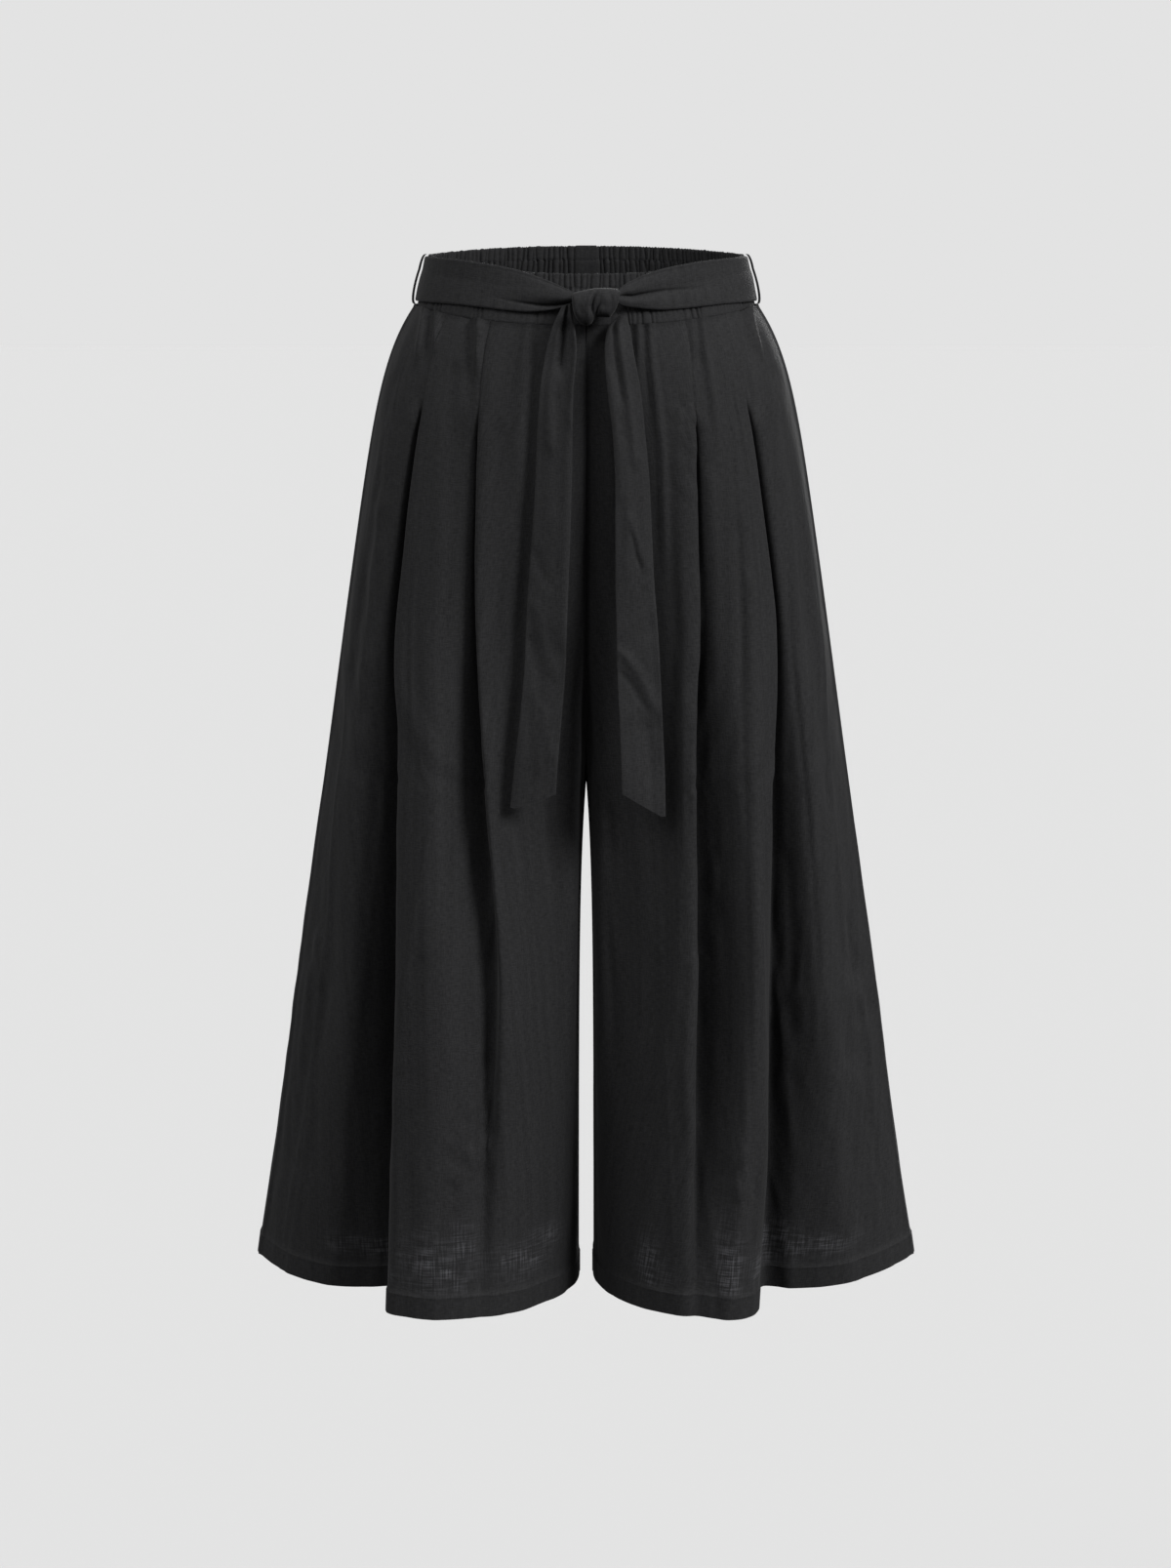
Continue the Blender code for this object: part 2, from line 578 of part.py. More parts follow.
def build_tail(name, table, slant, material):
    """A free end of the sash, with its cut end on a slant."""
    outer, inner = [], []
    for row in table:
        last = row is table[-1]
        fronts, backs = [], []
        for column in range(TAIL_ACROSS):
            share = column / (TAIL_ACROSS - 1)
            x = row.left + (row.right - row.left) * share
            bow = row.bow * (1 - (2 * share - 1) ** 2)
            drop = slant[0] + (slant[1] - slant[0]) * share if last else 0.0
            fronts.append((x, -(row.fwd + bow), row.height + drop))
            backs.append((x, -(row.fwd + bow - TAIL_CLOTH), row.height + drop))
        outer.append(fronts)
        inner.append(backs)
    closed_wall(name, outer, inner, material, True)


def build_loop(name, side, material):
    """A belt carrier that runs over the sash at one side seam, from the band's top to its seam."""
    outer, inner = [], []
    top, bottom = BAND_TOP, WAIST_SEAM + 1
    for row in range(LOOP_ROWS):
        share = (1 - math.cos(math.pi * row / (LOOP_ROWS - 1))) / 2
        height = top + (bottom - top) * share
        arch = math.sin(math.pi * share) ** LOOP_POWER * (SASH_CLEAR + SASH_CLOTH + LOOP_STAND)
        stand = band_breadth(height) + SEAM_GAP + arch
        fronts, backs = [], []
        for y in (-LOOP_WIDTH / 2, LOOP_WIDTH / 2):
            fronts.append((side * (stand + LOOP_CLOTH), y, height))
            backs.append((side * stand, y, height))
        outer.append(fronts)
        inner.append(backs)
    closed_wall(name, outer, inner, material, side > 0)


def main():
    for obj in list(bpy.data.objects):
        bpy.data.objects.remove(obj, do_unlink=True)
    linen = cloth_material("linen plain weave", LINEN)
    sash = cloth_material("linen sash", SASH_LINEN)
    for side, suffix, lines in ((-1, "left", FRONT_LEFT_LINES), (1, "right", FRONT_RIGHT_LINES)):
        grids = panel_grids(lines, side)
        for part, (outer, inner) in grids.items():
            closed_wall(f"{part}_{suffix}", outer, inner, linen, side > 0)
    build_waistband("waistband_front", True, linen)
    build_waistband("waistband_back", False, linen)
    build_sash_band(sash)
    build_knot(sash)
    build_tail("belt_tail_left", TAIL_LEFT, TAIL_SLANT_LEFT, sash)
    build_tail("belt_tail_right", TAIL_RIGHT, TAIL_SLANT_RIGHT, sash)
    build_loop("belt_loop_left", -1, linen)
    build_loop("belt_loop_right", 1, linen)


main()
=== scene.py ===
import math

import bpy
import mathutils
import numpy as np
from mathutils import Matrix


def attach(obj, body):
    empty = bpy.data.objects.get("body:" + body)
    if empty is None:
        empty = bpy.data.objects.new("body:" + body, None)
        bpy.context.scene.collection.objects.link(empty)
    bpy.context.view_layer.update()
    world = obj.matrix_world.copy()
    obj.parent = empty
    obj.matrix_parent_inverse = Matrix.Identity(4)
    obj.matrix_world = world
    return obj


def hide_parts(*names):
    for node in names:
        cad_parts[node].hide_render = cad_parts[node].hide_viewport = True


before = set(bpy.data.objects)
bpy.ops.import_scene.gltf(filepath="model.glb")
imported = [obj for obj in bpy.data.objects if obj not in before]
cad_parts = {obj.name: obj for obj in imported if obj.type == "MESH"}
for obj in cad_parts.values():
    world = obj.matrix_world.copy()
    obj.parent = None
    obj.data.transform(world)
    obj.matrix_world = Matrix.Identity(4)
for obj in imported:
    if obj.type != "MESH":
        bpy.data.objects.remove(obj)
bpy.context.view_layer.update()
mm = 0.001


# Small tools

def toLinear(hexColour):  # sRGB hex to the linear colour that a shader takes
    parts = [int(hexColour[i : i + 2], 16) / 255 for i in (1, 3, 5)]
    linear = [p / 12.92 if p <= 0.04045 else ((p + 0.055) / 1.055) ** 2.4 for p in parts]
    return (*linear, 1.0)


def addNode(tree, kind, settings=None, inputs=None):  # an input is a value, or an output to link
    node = tree.nodes.new(kind)
    for name, value in (settings or {}).items():
        setattr(node, name, value)
    for name, value in (inputs or {}).items():
        if isinstance(value, bpy.types.NodeSocket):
            tree.links.new(value, node.inputs[name])
        else:
            node.inputs[name].default_value = value
    return node


def addObject(name, data):
    made = bpy.data.objects.new(name, data)
    bpy.context.scene.collection.objects.link(made)
    return made


def startMaterial(name, roughness, specular):
    material = bpy.data.materials.new(name)
    material.use_nodes = True
    shader = material.node_tree.nodes["Principled BSDF"]
    shader.inputs["Roughness"].default_value = roughness
    shader.inputs["Specular IOR Level"].default_value = specular
    return material, material.node_tree, shader


def mixColours(tree, share, first, second):
    given = {"Factor": share, "A": first, "B": second}
    return addNode(tree, "ShaderNodeMix", {"data_type": "RGBA"}, given).outputs["Result"]


def calculate(tree, operation, first, second):
    return addNode(tree, "ShaderNodeMath", {"operation": operation}, {0: first, 1: second}).outputs[0]


def ease(x):  # 0 to 1 with a soft start and end
    x = np.clip(x, 0.0, 1.0)
    return x * x * (3 - 2 * x)


def softNoise(u, v, seed):  # smooth random hills from -1 to 1, one for each cell of u and v
    hills = np.random.default_rng(seed).uniform(-1, 1, (128, 128))
    u, v = np.broadcast_arrays(u, v)
    iu, iv = np.floor(u).astype(int), np.floor(v).astype(int)
    fu, fv = ease(u - iu), ease(v - iv)
    corner = [[hills[(iu + a) % 128, (iv + b) % 128] for b in (0, 1)] for a in (0, 1)]
    low = corner[0][0] * (1 - fu) + corner[1][0] * fu
    high = corner[0][1] * (1 - fu) + corner[1][1] * fu
    return low * (1 - fv) + high * fv


def smoothThrough(keys, values, at):  # monotone cubic; keys fall, values has a row for each curve
    keys = np.asarray(keys, float)[::-1]
    values = np.atleast_2d(np.asarray(values, float))[:, ::-1]
    span = np.diff(keys)
    slope = np.diff(values) / span
    tangent = np.zeros_like(values)
    tangent[:, 0], tangent[:, -1] = slope[:, 0], slope[:, -1]
    before, after = slope[:, :-1], slope[:, 1:]
    heavy, light = 2 * span[1:] + span[:-1], span[1:] + 2 * span[:-1]
    same = before * after > 0
    safe = np.where(same, heavy / np.where(same, before, 1) + light / np.where(same, after, 1), 1)
    tangent[:, 1:-1] = np.where(same, (heavy + light) / safe, 0)
    at = np.clip(np.asarray(at, float), keys[0], keys[-1])
    i = np.clip(np.searchsorted(keys, at, side="right") - 1, 0, len(span) - 1)
    t = (at - keys[i]) / span[i]
    return (
        (2 * t**3 - 3 * t**2 + 1) * values[:, i]
        + (t**3 - 2 * t**2 + t) * span[i] * tangent[:, i]
        + (3 * t**2 - 2 * t**3) * values[:, i + 1]
        + (t**3 - t**2) * span[i] * tangent[:, i + 1]
    )


def gridNormals(grid):  # unit normals of a grid of points, rows by columns
    down = np.gradient(grid, axis=0)
    across = np.gradient(grid, axis=1)
    normals = np.cross(across, down)
    return normals / np.maximum(np.linalg.norm(normals, axis=2, keepdims=True), 1e-9)


def makePiece(name, points, faces, material, uv, marks=None):
    mesh = bpy.data.meshes.new(name)
    mesh.from_pydata(points * mm, [], faces)
    mesh.materials.append(material)
    layer = mesh.uv_layers.new(name="cloth")
    corners = np.empty(len(mesh.loops), np.int32)
    mesh.loops.foreach_get("vertex_index", corners)
    layer.data.foreach_set("uv", np.asarray(uv, np.float32)[corners].ravel())
    for mark, values in (marks or {}).items():
        attribute = mesh.attributes.new(mark, "FLOAT", "POINT")
        attribute.data.foreach_set("value", np.asarray(values, np.float32))
    mesh.polygons.foreach_set("use_smooth", np.ones(len(mesh.polygons), bool))
    mesh.update()
    return addObject(name, mesh)


def makeShell(name, outer, inner, material, uv, marks, flip):  # a closed wall of two grids
    rows, columns = outer.shape[:2]
    index = np.arange(rows * columns).reshape(rows, columns)
    behind = index + rows * columns
    quads = np.stack([index[:-1, :-1], index[1:, :-1], index[1:, 1:], index[:-1, 1:]], -1)
    back = np.stack([behind[:-1, :-1], behind[:-1, 1:], behind[1:, 1:], behind[1:, :-1]], -1)
    rims = []
    for a, b in (
        (index[:, 0], behind[:, 0]),
        (index[::-1, -1], behind[::-1, -1]),
        (index[0, ::-1], behind[0, ::-1]),
        (index[-1], behind[-1]),
    ):
        rims.append(np.stack([a[:-1], b[:-1], b[1:], a[1:]], -1))
    faces = np.concatenate([quads.reshape(-1, 4), back.reshape(-1, 4), *rims])
    if flip:
        faces = faces[:, ::-1]
    points = np.concatenate([outer.reshape(-1, 3), inner.reshape(-1, 3)])
    uv = np.tile(uv.reshape(-1, 2), (2, 1))
    marks = {k: np.tile(np.ravel(v), 2) for k, v in (marks or {}).items()}
    piece = makePiece(name, points, faces.tolist(), material, uv, marks)
    cut = np.zeros((rows, columns), bool)            # only the edges of the wall are sharp
    cut[[0, -1]] = cut[:, [0, -1]] = True
    cut = np.tile(cut.ravel(), 2)
    ends = np.empty(len(piece.data.edges) * 2, np.int32)
    piece.data.edges.foreach_get("vertices", ends)
    a, b = ends.reshape(-1, 2).T
    sharp = cut[a] & cut[b] & ((a < index.size) == (b < index.size))
    piece.data.attributes.new("sharp_edge", "BOOLEAN", "EDGE").data.foreach_set("value", sharp)
    return piece


def alongRows(grid, start):  # distance along each row from a column, as on the flat cloth
    steps = np.linalg.norm(np.diff(grid, axis=1), axis=2)
    along = np.concatenate([np.zeros((len(grid), 1)), np.cumsum(steps, axis=1)], axis=1)
    return along - along[:, start : start + 1]


def downColumns(grid):
    steps = np.linalg.norm(np.diff(grid, axis=0), axis=2).mean(axis=1)
    return np.concatenate([[0], np.cumsum(steps)])[:, None] * np.ones((1, grid.shape[1]))


# Cloth materials

cloth = {
    "linenDark": "#101011",      # charcoal piece-dyed linen; its darker end is painted shade in the weave's grooves, the lighter on its threads
    "linenLight": "#222223",
    "sashDark": "#121213",
    "sashLight": "#242425",
    "paintedBacklightDark": "#1c1c1d",      # painted light: one layer with light behind it, above the hem
    "paintedBacklightLight": "#4c4c4f",
    "threadPitch": 1.0,          # real threads are 0.5 mm apart, too fine for the render
    "slubLength": 6,
    "streakWidth": 6,
    "streakLength": 170,
    "bumpHeight": 0.16,          # in mm, from thread to thread
    "roughness": 0.82,
    "specular": 0.18,
    "sheenWeight": 0.04,
    "sheenRoughness": 0.4,
}


def makeLinen(name, dark, light):  # woven linen: matt, with slubby threads both ways and faint streaks; colour darker where the weave's bump is low, as painted shade in its grooves
    material, tree, shader = startMaterial(name, cloth["roughness"], cloth["specular"])
    shader.inputs["Sheen Weight"].default_value = cloth["sheenWeight"]
    shader.inputs["Sheen Roughness"].default_value = cloth["sheenRoughness"]
    uv = addNode(tree, "ShaderNodeUVMap", {"uv_map": "cloth"}).outputs["UV"]
    pitch, slub = 1 / cloth["threadPitch"], 1 / cloth["slubLength"]
    streak = (1 / cloth["streakWidth"], 1 / cloth["streakLength"])
    noises = []
    loose = (pitch * 0.62, slub * 0.28)      # the open weave's threads, coarser and longer, patterning the painted light above the hem
    for across, down, detail in (
        (pitch, slub, 1.0), (slub, pitch, 1.0), (*streak, 3.0), (*loose, 1.0), (*loose[::-1], 1.0)
    ):
        place = addNode(tree, "ShaderNodeMapping", None, {"Vector": uv, "Scale": (across, down, 1)})
        noise = addNode(
            tree,
            "ShaderNodeTexNoise",
            {"noise_dimensions": "2D"},
            {"Vector": place.outputs["Vector"], "Scale": 1.0, "Detail": detail, "Roughness": 0.55},
        )
        noises.append(noise.outputs["Fac"])
    warp, weft, streaks, openWarp, openWeft = noises
    # colour follows the bump: painted shade where the weave is low, with the threads' and streaks' own uneven
    # tone
    weave = calculate(tree, "ADD", warp, weft)
    tone = addNode(tree, "ShaderNodeMath", {"operation": "MULTIPLY_ADD"}, {0: streaks, 1: 0.7, 2: weave})
    shade = addNode(
        tree, "ShaderNodeMapRange", None, {"Value": tone.outputs[0], "From Min": 0.8, "From Max": 1.9}
    )
    colour = mixColours(tree, shade.outputs[0], toLinear(dark), toLinear(light))
    # painted light: above the hem, patches lighter where light from behind would come through the open
    # weave's gaps
    openWeave = calculate(tree, "ADD", openWarp, openWeft)
    gaps = addNode(tree, "ShaderNodeMapRange", None, {"Value": openWeave, "From Min": 0.85, "From Max": 1.35})
    ends = toLinear(cloth["paintedBacklightDark"]), toLinear(cloth["paintedBacklightLight"])
    backlit = mixColours(tree, gaps.outputs[0], *ends)
    paintedBacklight = addNode(tree, "ShaderNodeAttribute", {"attribute_name": "paintedBacklight"}).outputs["Fac"]
    tree.links.new(mixColours(tree, paintedBacklight, colour, backlit), shader.inputs["Base Color"])
    bump = addNode(
        tree,
        "ShaderNodeBump",
        None,
        {"Height": weave, "Strength": 0.6, "Distance": cloth["bumpHeight"] * mm},
    )
    tree.links.new(bump.outputs["Normal"], shader.inputs["Normal"])
    return material


linen = makeLinen("plain-weave linen, piece dyed", cloth["linenDark"], cloth["linenLight"])
sashLinen = makeLinen("pressed double linen", cloth["sashDark"], cloth["sashLight"])
bandLinen = makeLinen("shirred linen over elastic", cloth["sashDark"], cloth["sashLight"])
print("linen made")


# Legs and yoke: four panels that follow the lines of the pleats

body = {
    "heights": (-21, -85, -260, -415, -600, -740, -873),  # seam, pleats open, hip, crotch, knee, shin, hem
    "waistSeam": -21,
    "crotch": -415,
    "release": -85,          # where the stitched-down pleats open
    "opening": 40,           # and this far below they have their full depth
    "hem": -873,
    "hemTurn": 20,
    "hemStitch": 18.7,       # height of its stitched row above the edge
    "wall": 0.8,
    "hemWall": 1.9,
    # Between the edges of two panels. Behind them the two walls cross, by up to 3 mm at the crotch.
    "seamGap": 0.01,
    "frontDip": 15,
    "backLift": 7,
    "sideHitch": 11,
    "hitchSpan": (190, 290),
    "ringPower": 2.3,
    "halfBreadth": (167.3, 0.148, 23.3),     # without the nip, growth to a millimetre, nip at the waist
    "frontDepth": (119, 0.031, 11),
    "nipFall": 40,
    "risePowers": (2.2, 1.8),
    "shutBottom": (0.45, -1.5),      # stitched down, a pleat's bottom lies this far from its fold
    "shutBank": (0, -0.5),
    "shutBankShare": 0.16,           # and its bank this share of the way to the line beyond
    "creaseStrength": 1.25,
    "frontRise": (108, 109, 101, -230),  # fwd of the seam at waist, release, start of the crotch curve
    "backRise": (105, 115, 117, -205),
    "legGap": 8,             # half the gap between the legs at the hem
    "legGapDrop": 80,        # fall over which it opens
    "seamRoll": 0.7,         # panel edges roll in by this much at a seam
    "sideRoll": 1.6,
    "seamRollWidth": 2.2,
    "waistRoll": 0.9,        # the top edge turns in at the waist seam
    "stitchPinch": 0.1,      # the hem's stitched row draws the cloth in
    "backSeamAside": 0.6,    # the centre back seam lies this far to the right
}

# Each line of a panel: columns to the next line, out at the seven heights, forward at the last six.
frontLeft = {
    "inner corner": (8, (18, 20, 18, 8, 12, 15, 19), (116, 111, 94, 88, 74, 56)),
    "inner front": (8, (35, 36, 38, 34, 28, 25, 23), (115, 112, 106, 100, 88, 69)),
    "column inner edge": (7, (49, 58, 64, 62, 51, 39, 30), (113, 120, 124, 122, 105, 82)),
    "column middle": (9, (60, 72, 78, 73, 62, 57, 56), (112, 121, 128, 132, 125, 114)),
    "inner pleat fold": (7, (77, 86, 91, 83, 71, 74, 80), (109, 121, 133, 137, 134, 131)),
    "inner pleat bottom": (7, (78, 87, 90, 82, 76, 84, 92), (101, 103, 103, 122, 128, 134)),
    "inner pleat bank": (11, (81, 91, 97, 100, 94, 96, 102), (104, 109, 113, 130, 136, 138)),
    "panel crest": (10, (97, 110, 124, 128, 132, 131, 131), (99, 112, 130, 138, 142, 142)),
    "panel outer": (8, (106, 124, 145, 146, 147, 149, 152), (92, 102, 120, 130, 133, 134)),
    "outer pleat fold": (8, (114, 133, 157, 157, 160, 164, 169), (86, 94, 108, 118, 121, 122)),
    "outer pleat bottom": (9, (114.5, 133, 155, 153, 155, 158, 162), (78, 76, 72, 62, 53, 46)),
    "outer pleat bank": (9, (117, 139, 165, 172, 180, 184, 190), (82, 83, 81, 73, 61, 47)),
    "side ridge": (7, (128, 152, 180, 194, 203, 211, 222), (69, 74, 79, 77, 64, 47)),
    "side hollow": (7, (132, 158, 188, 208, 226, 240, 255), (60, 58, 58, 50, 42, 32)),
    "side crest": (10, (137, 165, 194, 214, 238, 253, 270), (50, 50, 46, 34, 25, 14)),
    "side seam": (6, (143, 171, 201, 223, 250, 269, 290), (15, 16, 18, 12, -1, -15)),
}
frontRight = {
    "inner corner": (8, (18, 20, 18, 8, 11, 13, 15), (116, 111, 94, 88, 70, 50)),
    "inner front": (8, (33, 35, 38, 36, 34, 33, 32), (115, 112, 106, 102, 96, 86)),
    "column inner edge": (7, (50, 61, 69, 74, 63, 56, 52), (113, 118, 124, 126, 121, 112)),
    "column middle": (9, (62, 74, 81, 82, 76, 71, 67), (112, 123, 133, 137, 131, 122)),
    "inner pleat fold": (7, (80, 87, 92, 90, 91, 88, 84), (109, 121, 133, 139, 136, 131)),
    "inner pleat bottom": (7, (81, 88, 91, 89, 92, 92, 94), (101, 103, 102, 105, 117, 131)),
    "inner pleat bank": (11, (84, 92, 101, 109, 118, 115, 109), (104, 108, 112, 118, 129, 138)),
    "panel crest": (10, (102, 116, 130, 137, 141, 133, 121), (96, 109, 126, 136, 141, 143)),
    "panel outer": (8, (108, 125, 146, 150, 149, 145, 137), (91, 101, 115, 126, 132, 136)),
    "outer pleat fold": (8, (115, 131, 156, 156, 155, 152, 146), (86, 93, 103, 111, 116, 119)),
    "outer pleat bottom": (9, (115.5, 131, 154, 156, 158, 156, 154), (78, 76, 74, 66, 54, 46)),
    "outer pleat bank": (9, (118, 137, 163, 169, 174, 178, 182), (82, 83, 80, 73, 62, 51)),
    "side ridge": (7, (129, 150, 175, 189, 203, 216, 227), (71, 76, 83, 79, 62, 43)),
    "side hollow": (7, (133, 157, 185, 205, 224, 235, 246), (61, 60, 60, 52, 41, 29)),
    "side crest": (10, (138, 165, 194, 212, 236, 250, 266), (50, 50, 47, 34, 24, 13)),
    "side seam": (6, (143, 171, 201, 223, 250, 269, 290), (15, 16, 18, 12, -1, -15)),
}
back = {
    "widest": (12, (143.9, 172, 203, 226, 253, 272.5, 292.5), (-7, -8, -10, -14, -20, -28)),
    "side crest": (12, (134, 161, 193, 216, 244, 262, 280), (-56, -62, -66, -74, -80, -86)),
    "side hollow": (12, (119, 144, 172, 192, 214, 227, 240), (-82, -84, -82, -82, -82, -82)),
    "outer crest": (12, (103, 124, 150, 170, 190, 201, 212), (-100, -112, -118, -126, -129, -132)),
    "outer hollow": (12, (88, 106, 128, 144, 158, 165, 172), (-106, -109, -106, -104, -102, -100)),
    "middle crest": (12, (72, 88, 106, 118, 130, 136, 142), (-114, -126, -132, -140, -143, -146)),
    "middle hollow": (12, (57, 68, 82, 92, 100, 103, 106), (-114, -114, -110, -110, -110, -110)),
    "inner crest": (10, (42, 50, 60, 66, 70, 70, 70), (-117, -126, -130, -134, -134, -134)),
    "inner back": (8, (27, 31, 34, 34, 34, 34, 34), (-116, -116, -112, -108, -104, -100)),
    "inner corner": (8, (14, 15, 14, 9, 12, 15, 17), (-115, -114, -96, -88, -76, -62)),
}
fineness = 1.15              # more columns in front than the tables say
seamColumns = (6, 8)         # columns of the rise or inseam, from the seam to the inner corner
wallShare = (0.2, 0.5)       # where its middle line lies, out and forward


def flare(height, size):  # a plain size of the garment, on which the lines are worked out
    fall = body["waistSeam"] - height
    start, growth, nip = body[size]
    return start + growth * fall - nip * np.exp(-fall / body["nipFall"])


def ringShare(share):
    power = body["ringPower"]
    return (1 - np.minimum(share, 1.0) ** power) ** (1 / power)


def riseAt(heights, seam):  # distance of the centre seam from the middle plane, nothing at the crotch
    waist, release, full, start = seam
    upper = smoothThrough((body["waistSeam"], body["release"], start), (waist, release, full), heights)[0]
    share = np.clip((start - heights) / (start - body["crotch"]), 0, 1)
    power, root = body["risePowers"]
    return np.where(heights > start, upper, full * (1 - share**power) ** (1 / root))


def linePlaces(lines, heights, ringDepth):  # (row, line, 2) plan places of a panel's lines
    keys = np.array(body["heights"], float)
    outs = np.array([line[1] for line in lines.values()]) / flare(keys, "halfBreadth")
    sign = math.copysign(1, list(lines.values())[0][2][0])
    atWaist = sign * ringDepth * ringShare(outs[:, :1])
    fwds = np.hstack([atWaist, [line[2] for line in lines.values()]]) / flare(keys, "frontDepth")
    out = smoothThrough(keys, outs, heights) * flare(heights, "halfBreadth")
    fwd = smoothThrough(keys, fwds, heights) * flare(heights, "frontDepth")
    return np.stack([out, fwd], -1).transpose(1, 0, 2)


def closePleats(places, lines, heights):  # stitched down above the release, opening fast below it
    names = list(lines)
    openness = ease((body["release"] - heights) / body["opening"])[:, None]
    for pleat, beyond in (("inner pleat", "panel crest"), ("outer pleat", "side ridge")):
        fold, low, bank, far = (
            places[:, names.index(n)]
            for n in (f"{pleat} fold", f"{pleat} bottom", f"{pleat} bank", beyond)
        )
        chord = far - fold
        flatLow = fold + body["shutBottom"]
        flatBank = fold + chord * body["shutBankShare"] + body["shutBank"]
        places[:, names.index(f"{pleat} bottom")] = flatLow + (low - flatLow) * openness
        places[:, names.index(f"{pleat} bank")] = flatBank + (bank - flatBank) * openness
    return places


def curvePoints(chain, columns):  # centripetal Catmull-Rom through each row's places
    found = []
    for i, count in enumerate(columns):
        p = [chain[:, i + k] for k in range(4)]
        knots = [np.zeros(len(chain))]
        for a, b in zip(p, p[1:]):
            knots.append(knots[-1] + np.maximum(np.linalg.norm(b - a, axis=1), 1e-6) ** 0.5)
        k0, k1, k2, k3 = (k[:, None, None] for k in knots)
        p0, p1, p2, p3 = (q[:, None] for q in p)
        t = k1 + (k2 - k1) * (np.arange(count) / count)[None, :, None]
        a1 = (k1 - t) / (k1 - k0) * p0 + (t - k0) / (k1 - k0) * p1
        a2 = (k2 - t) / (k2 - k1) * p1 + (t - k1) / (k2 - k1) * p2
        a3 = (k3 - t) / (k3 - k2) * p2 + (t - k2) / (k3 - k2) * p3
        b1 = (k2 - t) / (k2 - k0) * a1 + (t - k0) / (k2 - k0) * a2
        b2 = (k3 - t) / (k3 - k1) * a2 + (t - k1) / (k3 - k1) * a3
        found.append((k2 - t) / (k2 - k1) * b1 + (t - k1) / (k2 - k1) * b2)
    found.append(chain[:, -2][:, None])
    return np.concatenate(found, axis=1)


def frontColumns(lines):  # mesh columns of a front panel, from the centre seam
    return [round(c * fineness) for c in (*seamColumns, *(line[0] for line in lines.values()))]


def halfPlan(side, frontLines, heights):  # plan points round one half, and the side seam's column
    fall = np.maximum(body["crotch"] - heights, 0)
    aside = side * body["backSeamAside"] * (heights > body["crotch"])
    gap = body["legGap"] * (1 - np.exp(-fall / body["legGapDrop"])) + body["seamGap"] / 2
    half = body["seamGap"] / 2
    frontSeam = np.stack([gap, np.maximum(riseAt(heights, body["frontRise"]), half)], -1)
    backSeam = np.stack([gap + aside, np.minimum(-riseAt(heights, body["backRise"]), -half)], -1)
    front = closePleats(linePlaces(frontLines, heights, body["frontRise"][0]), frontLines, heights)
    rear = linePlaces(back, heights, body["backRise"][0])
    share = np.array(wallShare)
    frontWall = frontSeam + (front[:, 0] - frontSeam) * share
    backWall = backSeam + (rear[:, -1] - backSeam) * share
    parts = [frontSeam[:, None], frontWall[:, None], front, rear, backWall[:, None], backSeam[:, None]]
    places = np.concatenate(parts, axis=1)
    columns = frontColumns(frontLines)
    seam = sum(columns[:-1])
    columns += [*(line[0] for line in back.values()), seamColumns[0]]
    apart = (heights <= body["crotch"])[:, None]
    first = np.where(apart, places[:, -2], places[:, 1] * (-1, 1))
    last = np.where(apart, places[:, 1], places[:, -2] * (-1, 1))
    chain = np.concatenate([first[:, None], places, last[:, None]], axis=1)
    return curvePoints(chain, columns), seam


def liftedHeights(heights, plan):  # the waist dips in front, and the hem rises at the side seams
    down = ((body["waistSeam"] - heights) / (body["waistSeam"] - body["hem"]))[:, None]
    fwd, out = plan[..., 1], plan[..., 0]
    dip = -body["frontDip"] * (fwd / body["frontRise"][0]) ** 2
    lift = body["backLift"] * (fwd / body["backRise"][0]) ** 2
    start, end = body["hitchSpan"]
    hitch = body["sideHitch"] * np.clip((out - start) / (end - start), 0, 1) ** 2
    return heights[:, None] + np.where(fwd > 0, dip, lift) * (1 - down) ** 3 + hitch * down**3
